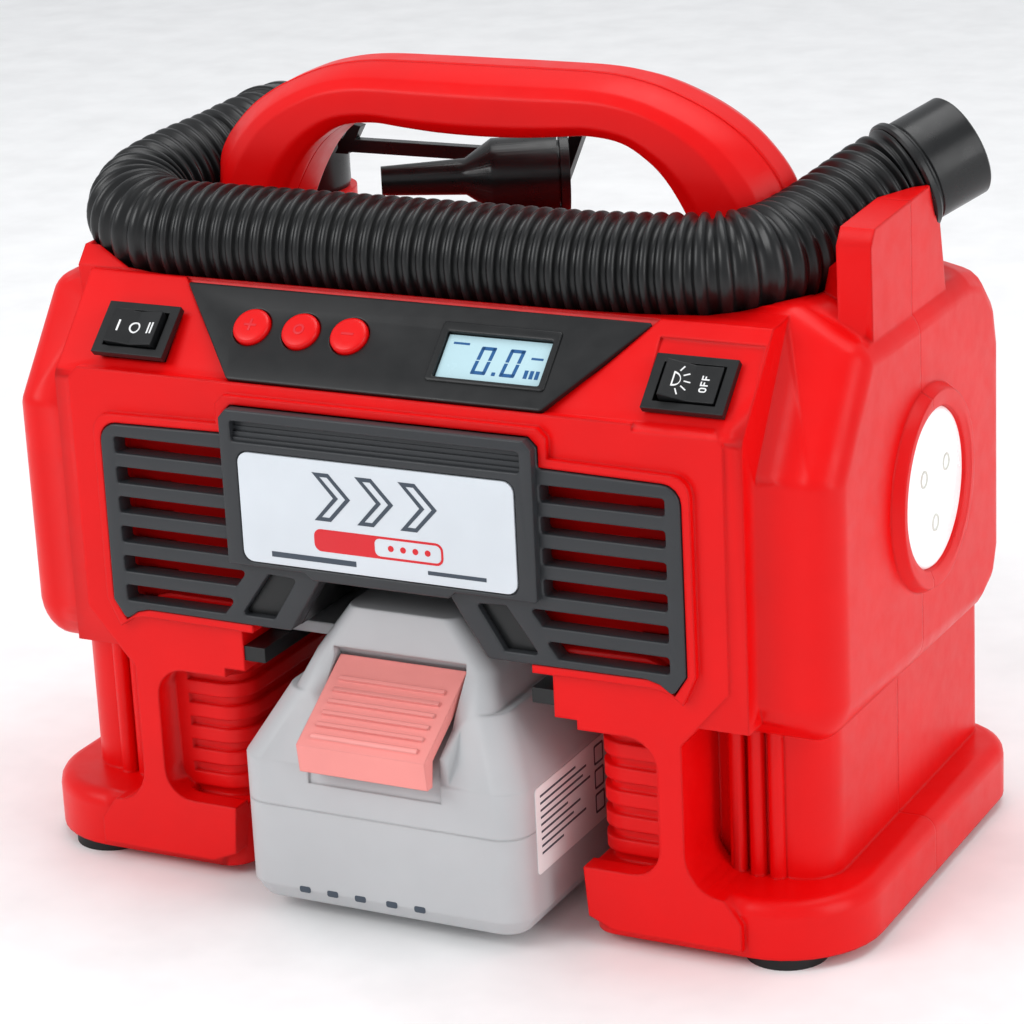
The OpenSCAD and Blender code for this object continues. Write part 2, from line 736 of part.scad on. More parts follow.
module battery_lower_case() {
    color(ghost) placed() difference() {
        union() {
            pack_slab(0, pack_front, pack_rear, pack_lo + 4, pack_seam, 8);
            hull() {
                pack_slab(0, pack_front, pack_rear, pack_lo + 4, pack_lo + 5, 8);
                pack_slab(2.4, pack_front + 2.4, pack_rear - 2.4, pack_lo, pack_lo + 1, 6);
            }
        }
        pack_slab(2.5, pack_front + 2.5, pack_rear - 2.5, pack_lo + 2.5, pack_seam + 1, 5.5);
    }
}

// Direction in which the latch is pushed, and its slope from level
LATCH_DIR = [0, 0.53, -0.85];
LATCH_PROFILE = [[-14, 51.5], [10.5, 66.7], [12.2, 64], [-9.6, 50.6], [-10.4, 44], [-13, 44]];

// Hollow that the latch sinks into
module latch_room() {
    along_x(-18.8, 18.8) polygon([
        [-30, 38.6], [-7.4, 38.6], [-7.2, 47.2], [15.4, 61.2], [11, 68.2], [-30, 90]]);
    on_latch() translate([-6.6, -5.6, -12.2]) cube([13.2, 11.2, 14]);
}

// Local Z leaves the latch plate at right angles, from the middle of its underside
module on_latch() { translate([0, 1.3, 57.3]) rotate([31.8, 0, 0]) children(); }

module battery_upper_case() {
    color(ghost) placed() difference() {
        union() {
            pack_slab(0, pack_front, pack_rear, pack_seam, pack_shoulder, 8);
            hull() {
                pack_slab(0, pack_front, pack_rear, pack_shoulder - 0.5, pack_shoulder, 8);
                pack_slab(9, pack_front + 10, pack_rear - 5, 58.5, 59, 7);
            }
            hull() {
                pack_slab(11.5, 2, 86, 58, 59, 5);
                pack_slab(14.3, 8.5, 86, 66, 67, 5);
            }
            hull() {
                pack_slab(14.3, 8.5, 86, 66, 67, 5);
                pack_slab(24.3, 10, 86, 79, 80, 4);
            }
            along_x(-21, 21) polygon([[-7.6, 42], [-7.6, 50.5], [9, 61.5], [12, 66], [40, 66], [40, 42]]);
            block([-43.4, 20, 67.3], [43.4, 86, 70.4]);
        }
        pack_slab(2.5, pack_front + 2.5, pack_rear - 2.5, pack_seam - 1, pack_shoulder + 1, 5.5);
        pack_slab(6, pack_front + 6.5, pack_rear - 6.5, pack_shoulder - 1, 45.6, 5);
        latch_room();
        block([-26, 34, 45], [26, 84, 56]);
        block([-18, 34, 45], [18, 68, 74]);
        block([-20, 70, 64.5], [20, 84, 74]);
        for (x = blade_x) block([x - 1.2, 80, 66.8], [x + 1.2, 90, 72.2]);
    }
}

// Two layers of five cells, lying across the pack
module battery_cells() {
    color([0.20, 0.45, 0.70]) placed() for (i = [0:4], k = [0:1])
        translate([-32.5, 4.4 + 19 * i, 17 + 18.6 * k]) rotate([0, 90, 0]) cylinder(r = cell_r, h = 65);
}

// Spring contacts on both sides of each blade
module battery_contacts() {
    color(brass) placed() for (x = blade_x, side = [-1, 1])
        translate([x + side * 1.4, 0, 0]) block([-0.4, 71, 64.5], [0.4, 83, 72]);
}

// Ribbed push plate with a stem that reaches down to its hook
module battery_latch() {
    color(pink) placed() {
        along_x(-18, 18) polygon(LATCH_PROFILE);
        for (i = [0:5]) translate([-15, -11.6 + 3.1 * i, 52.5 + 1.92 * i])
            rotate([31.8, 0, 0]) cube([30, 1.2, 1.1]);
        on_latch() translate([-6, -5, -8]) cube([12, 10, 8.5]);
    }
}

module battery_sticker() {
    color([0.92, 0.92, 0.92]) placed() block([pack_x, 1, 19], [pack_x + 0.25, 45, 42]);
}

// ---- high-pressure pump -----------------------------------------------------------------

motor_at = [84, 0, 93];     // axis of the motor and its pinion
crank_at = [84, 0, 118];    // axis of the gear that carries the crank pin
crank_r = 8;
bore_y = 102;               // the cylinder's axis runs along X at this depth
bore_r = 10;

// Turns local Z to point backwards, on the axis through point a, from depth y
module shaft_at(a, y) { translate([a[0], y, a[2]]) rotate([-90, 0, 0]) children(); }

// Straight-sided teeth round a disc; thin by the backlash
module gear_outline(teeth, root, tip) {
    step = 360 / teeth;
    polygon([for (i = [0:teeth - 1], k = [0:3])
        let (r = (k == 0 || k == 3) ? root : tip, a = step * (i + [-0.24, -0.1, 0.1, 0.24][k]))
        r * [cos(a), sin(a)]]);
}

module pump_motor() {
    color(steel) placed() difference() {
        union() {
            shaft_at(motor_at, 26) cylinder(r = 18, h = 54);
            shaft_at(motor_at, 22) cylinder(r = 8, h = 4);
            shaft_at(motor_at, 80) cylinder(r = 6, h = 2);
        }
        shaft_at(motor_at, 73) cylinder(r = 1.57, h = 20);
    }
}

module pump_pinion() {
    color(brass) placed() {
        shaft_at(motor_at, 74) cylinder(r = 1.5, h = 15);
        shaft_at(motor_at, 88) rotate([0, 0, 90]) linear_extrude(6) gear_outline(10, 3.75, 5.9);
    }
}

module pump_gear() {
    color([0.85, 0.84, 0.80]) placed() {
        shaft_at(crank_at, 88) rotate([0, 0, 4.5]) linear_extrude(6) gear_outline(40, 18.75, 20.9);
        shaft_at(crank_at, 78) cylinder(r = 3, h = 11);
        shaft_at(crank_at - [crank_r, 0, 0], 93) cylinder(r = 2, h = 6.6);
    }
}

// Plate between motor and gear, with the block that grips the cylinder
module pump_frame() {
    color(steel) placed() difference() {
        union() {
            block([50, 82, 76], [104, 86.5, 134]);
            block([84, 82, 60.9], [98, 86.5, 77]);
            block([50, 86, 104], [60, 117, 132]);
        }
        shaft_at(motor_at, 80) cylinder(r = 4, h = 10);
        shaft_at(crank_at, 80) cylinder(r = 3.06, h = 10);
        translate([40, bore_y, crank_at[2]]) rotate([0, 90, 0]) cylinder(r = 13, h = 30);
    }
}

module pump_cylinder() {
    color(steel) placed() translate([24, bore_y, crank_at[2]]) rotate([0, 90, 0]) difference() {
        union() {
            cylinder(r = 13, h = 36);
            for (i = [0:3]) translate([0, 0, 3 + 5 * i]) cylinder(r = 15, h = 2);
        }
        translate([0, 0, -1]) cylinder(r = bore_r, h = 40);
    }
}

module cylinder_head() {
    color(steel) placed() difference() {
        block([14, 88, 104], [24, 116, 132]);
        translate([20, 110, 110]) rotate([-90, 0, 0]) cylinder(r = 3, h = 10);
    }
}

module piston() {
    color([0.60, 0.61, 0.63]) placed() translate([25.5, bore_y, crank_at[2]]) rotate([0, 90, 0]) difference() {
        cylinder(r = bore_r - 0.06, h = 12);
        translate([0, 0, 3]) cylinder(r = 8, h = 10);
    }
}

// Rod from the wrist inside the piston to the crank pin's path
module connecting_rod() {
    wrist = 34.6;
    pin = crank_at[0] - crank_r;
    color(steel) placed() translate([0, bore_y - 1.7, crank_at[2]]) rotate([-90, 0, 0]) difference() {
        union() {
            translate([wrist - 3, 0, 0]) cylinder(r = 3, h = 3.4);
            translate([wrist - 3, -2.2, 0]) cube([pin - wrist + 3, 4.4, 3.4]);
            translate([pin, 0, 0]) cylinder(r = 5, h = 3.4);
            translate([28.5, -2, 0]) cube([4, 4, 3.4]);
        }
        translate([pin, 0, -1]) cylinder(r = 2.2, h = 6);
    }
}

// ---- blower -----------------------------------------------------------------------------

blower_at = [-78, 0, 108];

module blower_motor() {
    color(steel) placed() difference() {
        union() {
            shaft_at(blower_at, 40) cylinder(r = 16, h = 46);
            shaft_at(blower_at, 36) cylinder(r = 7, h = 4);
            shaft_at(blower_at, 86) cylinder(r = 5, h = 2);
        }
        shaft_at(blower_at, 75) cylinder(r = 2.08, h = 20);
    }
}

// Fan wheel with twelve straight blades, on its own shaft
module blower_fan() {
    color([0.85, 0.84, 0.80]) placed() {
        shaft_at(blower_at, 76) cylinder(r = 2, h = 16);
        shaft_at(blower_at, 91) cylinder(r = 20, h = 2);
        shaft_at(blower_at, 91) cylinder(r = 6, h = 13);
        shaft_at(blower_at, 92) for (a = [0:30:330]) rotate([0, 0, a]) translate([5, -0.6, 0]) cube([14.6, 1.2, 12]);
    }
}

// Round fan case with a box duct that reaches back under the hose elbow
module blower_scroll() {
    color(black) placed() difference() {
        union() {
            shaft_at(blower_at, 88) cylinder(r = 24, h = 20);
            block([port[0] - 11, 100, 112], [port[0] + 11, 126.8, 131.8]);
        }
        shaft_at(blower_at, 89.5) cylinder(r = 22.4, h = 17);
        block([port[0] - 9.5, 100, 113.5], [port[0] + 9.5, 125.3, 130.3]);
        translate([port[0], port[1], 129]) cylinder(r = 6.5, h = 10);
        shaft_at(blower_at, 105) cylinder(r = 8, h = 10);
        shaft_at(blower_at, 80) cylinder(r = 2.4, h = 15);
    }
}

front_housing();
rear_housing();
handle_front();
handle_rear();
louvre_panel();
label_plate();
bay_liner();
bay_rails();
terminal_block();
control_panel();
display_module();
display_board();
button_plus();
button_mode();
button_minus();
left_switch_body();
left_rocker();
right_switch_body();
right_rocker();
lamp_lens();
lamp_board();
rubber_feet();
housing_screws();
foot_screws();
hose();
hose_end_collar();
hose_port_collar();
hose_port();
nozzle_rack();
nozzle_cone();
air_outlet();
air_line();
battery_lower_case();
battery_upper_case();
battery_cells();
battery_contacts();
battery_latch();
battery_sticker();
pump_motor();
pump_pinion();
pump_gear();
pump_frame();
pump_cylinder();
cylinder_head();
piston();
connecting_rod();
blower_motor();
blower_fan();
blower_scroll();
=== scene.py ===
import json
import math

import bmesh
import bpy
import numpy as np
from bpy.props import FloatProperty, FloatVectorProperty, PointerProperty
from mathutils import Matrix, Vector


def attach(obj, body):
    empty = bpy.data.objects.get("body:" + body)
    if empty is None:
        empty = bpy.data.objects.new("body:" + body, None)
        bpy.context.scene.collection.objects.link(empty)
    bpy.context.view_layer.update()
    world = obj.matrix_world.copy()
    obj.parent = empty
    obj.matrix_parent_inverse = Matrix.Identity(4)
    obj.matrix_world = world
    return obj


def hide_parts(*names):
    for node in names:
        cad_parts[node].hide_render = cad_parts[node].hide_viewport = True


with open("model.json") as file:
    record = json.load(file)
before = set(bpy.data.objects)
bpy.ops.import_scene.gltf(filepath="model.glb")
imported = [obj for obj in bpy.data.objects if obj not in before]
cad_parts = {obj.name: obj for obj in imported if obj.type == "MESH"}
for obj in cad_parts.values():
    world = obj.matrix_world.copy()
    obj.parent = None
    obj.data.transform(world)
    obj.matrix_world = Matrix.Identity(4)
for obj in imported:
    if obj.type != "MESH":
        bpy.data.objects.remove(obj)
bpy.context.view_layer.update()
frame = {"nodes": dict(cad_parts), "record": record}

bl_info = {
    "name": "Air Inflator",
    "version": (1, 0, 0),
    "blender": (4, 5, 0),
    "location": "3D View > Sidebar > Inflator",
    "description": "Dresses the CAD frame of a cordless air inflator with its finishes and fine parts",
    "category": "Object",
}

MM = 0.001
MID_Y = 62.0                 # the frame's origin lies this far behind the front plane, in mm
SEAM_Y = 71.0                # plane where the two halves of the clamshell meet
DECK_Y, DECK_Z = 6.8, 137.5  # lower front edge of the control deck
DECK_TILT = math.radians(43)


# ---- settings ---------------------------------------------------------------------------

def linear(colour):
    """sRGB values 0-255 as linear red, green, blue."""
    c = np.asarray(colour, float) / 255
    return tuple(np.where(c <= 0.04045, c / 12.92, ((c + 0.055) / 1.055) ** 2.4))


def tint(label, text, colour):
    """Colour property with a name, a description and a default in sRGB 0-255."""
    return FloatVectorProperty(name=label, description=text, subtype="COLOR", size=3,
                               min=0, max=1, default=linear(colour))


class InflatorFinish(bpy.types.PropertyGroup):
    shell: tint("Shell", "Red of the housing and the handle", (226, 4, 6))
    trim: tint("Trim", "Charcoal of the louvre panel", (46, 48, 51))
    black: tint("Black parts", "Black of the deck, the switches and the collars", (20, 21, 22))
    pack: tint("Pack shell", "Pale grey of the battery pack", (186, 187, 189))
    latch: tint("Pack latch", "Pale red of the pack's latch", (242, 148, 142))
    label: tint("Label", "Silver of the front label", (214, 220, 226))
    grain: FloatProperty(name="Mould grain", description="Size of the moulded texture", unit="LENGTH",
                         default=0.0007, min=0.0002, max=0.003)


class InflatorHose(bpy.types.PropertyGroup):
    outer: FloatProperty(name="Outer radius", description="Radius over the ridges", unit="LENGTH",
                         default=0.0138, min=0.010, max=0.020)
    valley: FloatProperty(name="Valley radius", description="Radius between the ridges", unit="LENGTH",
                          default=0.0120, min=0.008, max=0.019)
    pitch: FloatProperty(name="Pitch", description="Distance from ridge to ridge", unit="LENGTH",
                         default=0.0039, min=0.002, max=0.008)


class InflatorDeck(bpy.types.PropertyGroup):
    button: FloatProperty(name="Button diameter", description="Diameter of the push buttons", unit="LENGTH",
                          default=0.010, min=0.006, max=0.014)


# ---- shapes -----------------------------------------------------------------------------

def place(points):
    """Millimetres behind the front plane become metres in the frame."""
    return (np.asarray(points, float) - [0, MID_Y, 0]) * MM


def on_deck(points):
    """Deck coordinates (across, up the slope, out of it) in mm become metres in the frame."""
    x, s, n = np.moveaxis(np.asarray(points, float), -1, 0)
    y = DECK_Y + s * math.cos(DECK_TILT) - n * math.sin(DECK_TILT)
    z = DECK_Z + s * math.sin(DECK_TILT) + n * math.cos(DECK_TILT)
    return place(np.stack([x, y, z], -1))


def on_front(points):
    """Front coordinates (across, up, forward of the front plane) in mm become metres in the frame."""
    x, z, out = np.moveaxis(np.asarray(points, float), -1, 0)
    return place(np.stack([x, -out, z], -1))


def rounded(corners, radius, steps=5):
    """Closed outline whose corners become arcs: each is tangent to both sides, at r / tan(half angle)."""
    corners = np.asarray(corners, float)
    count = len(corners)
    radii = np.broadcast_to(radius, count)
    outline = []
    for i, p in enumerate(corners):
        to_last, to_next = corners[i - 1] - p, corners[(i + 1) % count] - p
        len_a, len_b = np.linalg.norm(to_last), np.linalg.norm(to_next)
        a, b = to_last / len_a, to_next / len_b
        half = math.acos(float(np.clip(a @ b, -1, 1))) / 2
        reach = min(radii[i] / max(math.tan(half), 1e-6), 0.48 * len_a, 0.48 * len_b)
        if reach < 1e-4 or half > math.pi / 2 - 0.02:
            outline.append(p)
            continue
        r = reach * math.tan(half)
        centre = p + (a + b) / np.linalg.norm(a + b) * r / math.sin(half)
        start, end = p + a * reach - centre, p + b * reach - centre
        a0 = math.atan2(start[1], start[0])
        turn = (math.atan2(end[1], end[0]) - a0 + math.pi) % math.tau - math.pi
        angle = a0 + turn * np.linspace(0, 1, steps + 1)
        outline.extend(centre + r * np.stack([np.cos(angle), np.sin(angle)], -1))
    return np.array(outline)


def box_outline(lo, hi):
    """Rectangle between two corners."""
    return [(lo[0], lo[1]), (hi[0], lo[1]), (hi[0], hi[1]), (lo[0], hi[1])]


def flipped(outline):
    """The same outline on the other side of x = 0."""
    return [(-x, z) for x, z in reversed(list(outline))]


def both_halves(outline):
    """A whole outline from its right half."""
    return list(outline) + flipped(outline)


def arc_points(centre, radius, start, end, steps=6):
    """Points of an arc about centre; angles in degrees."""
    angle = np.radians(np.linspace(start, end, steps + 1))
    return [(centre[0] + radius * math.cos(a), centre[1] + radius * math.sin(a)) for a in angle]


def linked(name, data):
    """A new object in the scene, at the origin."""
    obj = bpy.data.objects.new(name, data)
    bpy.context.scene.collection.objects.link(obj)
    return obj


def new_object(name, verts, faces, smooth=38):
    """Mesh object with smooth faces, sharp where neighbours turn by more than smooth degrees."""
    mesh = bpy.data.meshes.new(name)
    mesh.from_pydata(np.asarray(verts, float).reshape(-1, 3).tolist(), [], faces)
    mesh.validate()
    work = bmesh.new()
    work.from_mesh(mesh)
    bmesh.ops.remove_doubles(work, verts=work.verts, dist=1e-7)
    bmesh.ops.recalc_face_normals(work, faces=work.faces)
    work.to_mesh(mesh)
    work.free()
    mesh.shade_smooth()
    mesh.set_sharp_from_angle(angle=math.radians(smooth))
    return linked(name, mesh)


def quads(rows, columns, ring_rows=False):
    """Faces of a grid of rows by columns points whose columns close into rings."""
    r = np.arange(rows if ring_rows else rows - 1)[:, None]
    c = np.arange(columns)[None, :]
    nr, nc = (r + 1) % rows, (c + 1) % columns
    faces = np.stack([r * columns + c, r * columns + nc, nr * columns + nc, nr * columns + c], -1)
    return faces.reshape(-1, 4).tolist()


def loft(name, rings, smooth=38, closed=False):
    """Skin over rings of points, shape (rings, points, 3); its ends are capped unless it closes."""
    rings = np.asarray(rings, float)
    rows, columns = rings.shape[:2]
    faces = quads(rows, columns, closed)
    if not closed:
        faces += [list(range(columns))[::-1], list(range((rows - 1) * columns, rows * columns))]
    return new_object(name, rings, faces, smooth)


def frames(path):
    """Side and up vectors at each point of a path, square to it; the path is never vertical."""
    tangent = np.gradient(path, axis=0)
    tangent /= np.linalg.norm(tangent, axis=1, keepdims=True)
    side = np.cross([0, 0, 1.0], tangent)
    side /= np.linalg.norm(side, axis=1, keepdims=True)
    return side, np.cross(tangent, side)


def tube_rings(path, radius, sides=40):
    """Circles of radius(i) about each point of a path: p + r (cos t * side + sin t * up)."""
    side, up = frames(path)
    t = np.linspace(0, math.tau, sides, endpoint=False)
    r = np.broadcast_to(radius, len(path))[:, None, None]
    turn = np.cos(t)[None, :, None] * side[:, None] + np.sin(t)[None, :, None] * up[:, None]
    return path[:, None] + r * turn


def axes_of(direction):
    """Two unit vectors square to a direction."""
    w = np.asarray(direction, float) / np.linalg.norm(direction)
    u = np.cross(w, [0, 0, 1.0] if abs(w[2]) < 0.9 else [1.0, 0, 0])
    u /= np.linalg.norm(u)
    return u, np.cross(w, u), w


def lathe(name, profile, base, direction, sides=64, smooth=38, unit=MM):
    """Profile (radius, height) turned about the axis through base; it runs from axis to axis or closes."""
    profile = np.asarray(profile, float) * unit
    u, v, w = axes_of(direction)
    t = np.linspace(0, math.tau, sides, endpoint=False)
    turn = np.cos(t)[:, None] * u + np.sin(t)[:, None] * v
    rings = np.asarray(base) + profile[:, :1, None] * turn[None] + profile[:, 1, None, None] * w
    solid = profile[0, 0] < 1e-9 and profile[-1, 0] < 1e-9
    return loft(name, rings, smooth, closed=not solid)


def smooth_path(points, step, passes=2):
    """Catmull-Rom curve through points, sampled evenly every step and then eased by averaging."""
    p = np.asarray(points, float)
    p = np.vstack([2 * p[0] - p[1], p, 2 * p[-1] - p[-2]])
    t = np.linspace(0, 1, 16, endpoint=False)[None, :, None]
    a, b, c, d = (p[i:len(p) - 3 + i, None] for i in range(4))
    curve = 0.5 * (2 * b + (c - a) * t + (2 * a - 5 * b + 4 * c - d) * t**2 + (3 * b - a - 3 * c + d) * t**3)
    curve = np.vstack([curve.reshape(-1, p.shape[1]), p[-2]])
    for _ in range(passes):
        curve[1:-1] = (curve[:-2] + 2 * curve[1:-1] + curve[2:]) / 4
    s = np.append(0, np.cumsum(np.linalg.norm(np.diff(curve, axis=0), axis=1)))
    even = np.linspace(0, s[-1], max(4, round(s[-1] / step)) + 1)
    return np.stack([np.interp(even, s, curve[:, k]) for k in range(p.shape[1])], -1)


def plate(name, outlines, low, high, edge, mapping, smooth=38):
    """Flat part: the outlines, the first one outside and the others holes, between two heights in mm.

    Both rims are rounded by edge. mapping turns (x, y, height) in mm into the frame."""
    curve = bpy.data.curves.new(name, "CURVE")
    curve.dimensions = "2D"
    curve.fill_mode = "BOTH"
    curve.extrude = (high - low) / 2 - edge
    curve.bevel_depth = edge
    curve.bevel_resolution = 2
    curve.offset = -edge
    for outline in outlines:
        spline = curve.splines.new("POLY")
        spline.points.add(len(outline) - 1)
        flat = np.zeros((len(outline), 4))
        flat[:, :2] = outline
        flat[:, 3] = 1
        spline.points.foreach_set("co", flat.ravel())
        spline.use_cyclic_u = True
    source = linked(name + "_outline", curve)
    made = source.evaluated_get(bpy.context.evaluated_depsgraph_get()).to_mesh()
    verts = np.empty(len(made.vertices) * 3)
    made.vertices.foreach_get("co", verts)
    faces = [list(p.vertices) for p in made.polygons]
    bpy.data.objects.remove(source)
    bpy.data.curves.remove(curve)
    verts = verts.reshape(-1, 3)
    verts[:, 2] += (low + high) / 2
    return new_object(name, mapping(verts), faces, smooth)


def joined(name, pieces):
    """One object from several, with all their faces."""
    work = bmesh.new()
    for piece in pieces:
        work.from_mesh(piece.data)
        bpy.data.meshes.remove(piece.data)
    mesh = bpy.data.meshes.new(name)
    work.to_mesh(mesh)
    work.free()
    return linked(name, mesh)


def marks(name, outlines, low, high, mapping):
    """Thin printed marks: each entry is one outline, or a list of an outline and its holes."""
    pieces = []
    for i, shape in enumerate(outlines):
        loops = shape if isinstance(shape[0][0], (tuple, list, np.ndarray)) else [shape]
        pieces.append(plate(f"{name}_{i}", loops, low, high, 0.01, mapping))
    return joined(name, pieces)


def printed(name, outlines, low, high, mapping, ink, slot, body):
    """Marks in an ink, on a slot's piece that rides with a body."""
    return dressed(marks(name, outlines, low, high, mapping), finish_of(ink), slot, body)


def ring_outline(centre, radius, sides=28):
    """Circle as a closed outline."""
    return arc_points(centre, radius, 0, 360 - 360 / sides, sides - 1)


def dressed(obj, material, slot, body, *nodes):
    """Gives a piece its material, lets it ride, and lets it stand for CAD nodes. The slot argument is not
    used.
    """
    obj.data.materials.clear()
    obj.data.materials.append(material)
    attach(obj, body)
    if nodes:
        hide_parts(*nodes)
    return obj


def body_of(node):
    """Name of the CAD body that holds a node."""
    return next(b for b, nodes in frame["record"]["behaviour"]["bodies"].items() if node in nodes)


def slot_of(node):
    """Material slot that the record gives to a node."""
    return next(s["material_slot"] for s in frame["record"]["subparts"] if s["node"] == node)


def merged_copy(node, smooth=32):
    """A CAD node's mesh, its loose triangles merged, with weighted normals."""
    mesh = frame["nodes"][node].data.copy()
    work = bmesh.new()
    work.from_mesh(mesh)
    bmesh.ops.remove_doubles(work, verts=work.verts, dist=2e-6)
    bmesh.ops.dissolve_degenerate(work, dist=1e-6, edges=work.edges)
    bmesh.ops.dissolve_limit(work, angle_limit=math.radians(0.6), verts=work.verts, edges=work.edges)
    work.to_mesh(mesh)
    work.free()
    mesh.shade_smooth()
    mesh.set_sharp_from_angle(angle=math.radians(smooth))
    obj = linked(node + "_finish", mesh)
    weighted = obj.modifiers.new("Weighted", "WEIGHTED_NORMAL")
    weighted.keep_sharp = True
    return obj


def dress_copies(*names):
    """Lets a merged copy of each CAD node stand for it, with the node's own finish, slot and body."""
    for node in names:
        slot = slot_of(node)
        dressed(merged_copy(node), finish_of(slot), slot, body_of(node), node)


# ---- materials --------------------------------------------------------------------------

def nodes_of(name):
    """New material, its node tree and its shader, which is joined to the output."""
    material = bpy.data.materials.new(name)
    material.use_nodes = True
    tree = material.node_tree
    tree.nodes.clear()
    out = tree.nodes.new("ShaderNodeOutputMaterial")
    shader = tree.nodes.new("ShaderNodeBsdfPrincipled")
    tree.links.new(shader.outputs[0], out.inputs["Surface"])
    return material, tree, shader


def noise(tree, scale, detail=3.0, rough=0.55):
    """Noise on object coordinates; scale is the size of its cells in metres."""
    where = tree.nodes.new("ShaderNodeTexCoord")
    node = tree.nodes.new("ShaderNodeTexNoise")
    node.inputs["Scale"].default_value = 1 / scale
    node.inputs["Detail"].default_value = detail
    node.inputs["Roughness"].default_value = rough
    tree.links.new(where.outputs["Object"], node.inputs["Vector"])
    return node.outputs[0]


def ranged(tree, value, low, high, start=0.3, end=0.7):
    """Maps a value from start..end to low..high."""
    node = tree.nodes.new("ShaderNodeMapRange")
    for key, number in zip(("From Min", "From Max", "To Min", "To Max"), (start, end, low, high)):
        node.inputs[key].default_value = number
    tree.links.new(value, node.inputs["Value"])
    return node.outputs[0]


def bumped(tree, height, strength, distance):
    """Bump node that raises the surface by height times distance in metres."""
    bump = tree.nodes.new("ShaderNodeBump")
    bump.inputs["Strength"].default_value = strength
    bump.inputs["Distance"].default_value = distance
    tree.links.new(height, bump.inputs["Height"])
    return bump


def moulded(name, colour, rough=0.42, grain=0.0007, depth=0.02, edge=0.0006, mottle=0.04, coat=0.0,
            gloss=0.4):
    """Moulded plastic: fine grain in the bump, a slow change of colour and of roughness, soft edges."""
    material, tree, shader = nodes_of(name)
    mix = tree.nodes.new("ShaderNodeMix")
    mix.data_type = "RGBA"
    base = np.asarray(colour)
    mix.inputs["A"].default_value = (*(base * (1 - mottle)), 1)
    mix.inputs["B"].default_value = (*np.minimum(base * (1 + mottle), 1), 1)
    tree.links.new(ranged(tree, noise(tree, 0.03), 0, 1), mix.inputs["Factor"])
    tree.links.new(mix.outputs["Result"], shader.inputs["Base Color"])
    tree.links.new(ranged(tree, noise(tree, 0.006), rough - 0.05, rough + 0.05), shader.inputs["Roughness"])
    bump = bumped(tree, noise(tree, grain, 2.0), 0.35, depth * MM)
    if edge:
        soft = tree.nodes.new("ShaderNodeBevel")
        soft.samples = 4
        soft.inputs["Radius"].default_value = edge
        tree.links.new(soft.outputs[0], bump.inputs["Normal"])
    tree.links.new(bump.outputs[0], shader.inputs["Normal"])
    shader.inputs["Specular IOR Level"].default_value = gloss
    shader.inputs["Coat Weight"].default_value = coat
    shader.inputs["Coat Roughness"].default_value = 0.25
    return material


def metal(name, colour, rough=0.3, brush=0.0004):
    """Turned or rolled metal: fine noise in roughness and bump."""
    material, tree, shader = nodes_of(name)
    shader.inputs["Base Color"].default_value = (*colour, 1)
    shader.inputs["Metallic"].default_value = 1.0
    tree.links.new(ranged(tree, noise(tree, 0.004), rough - 0.08, rough + 0.08), shader.inputs["Roughness"])
    bump = bumped(tree, noise(tree, brush, 2.0), 0.2, 0.01 * MM)
    tree.links.new(bump.outputs[0], shader.inputs["Normal"])
    return material


def glow(name, colour, strength):
    """Faintly lit plastic, for the lamp and the display."""
    material = moulded(name, colour, rough=0.25, depth=0.004, edge=0.0)
    shader = next(n for n in material.node_tree.nodes if n.type == "BSDF_PRINCIPLED")
    shader.inputs["Emission Color"].default_value = (*colour, 1)
    shader.inputs["Emission Strength"].default_value = strength
    return material


MATERIALS = {}               # every finish by name, filled by the first operator


def finish_of(slot):
    """Finish made for a material slot or an ink."""
    return MATERIALS[slot]


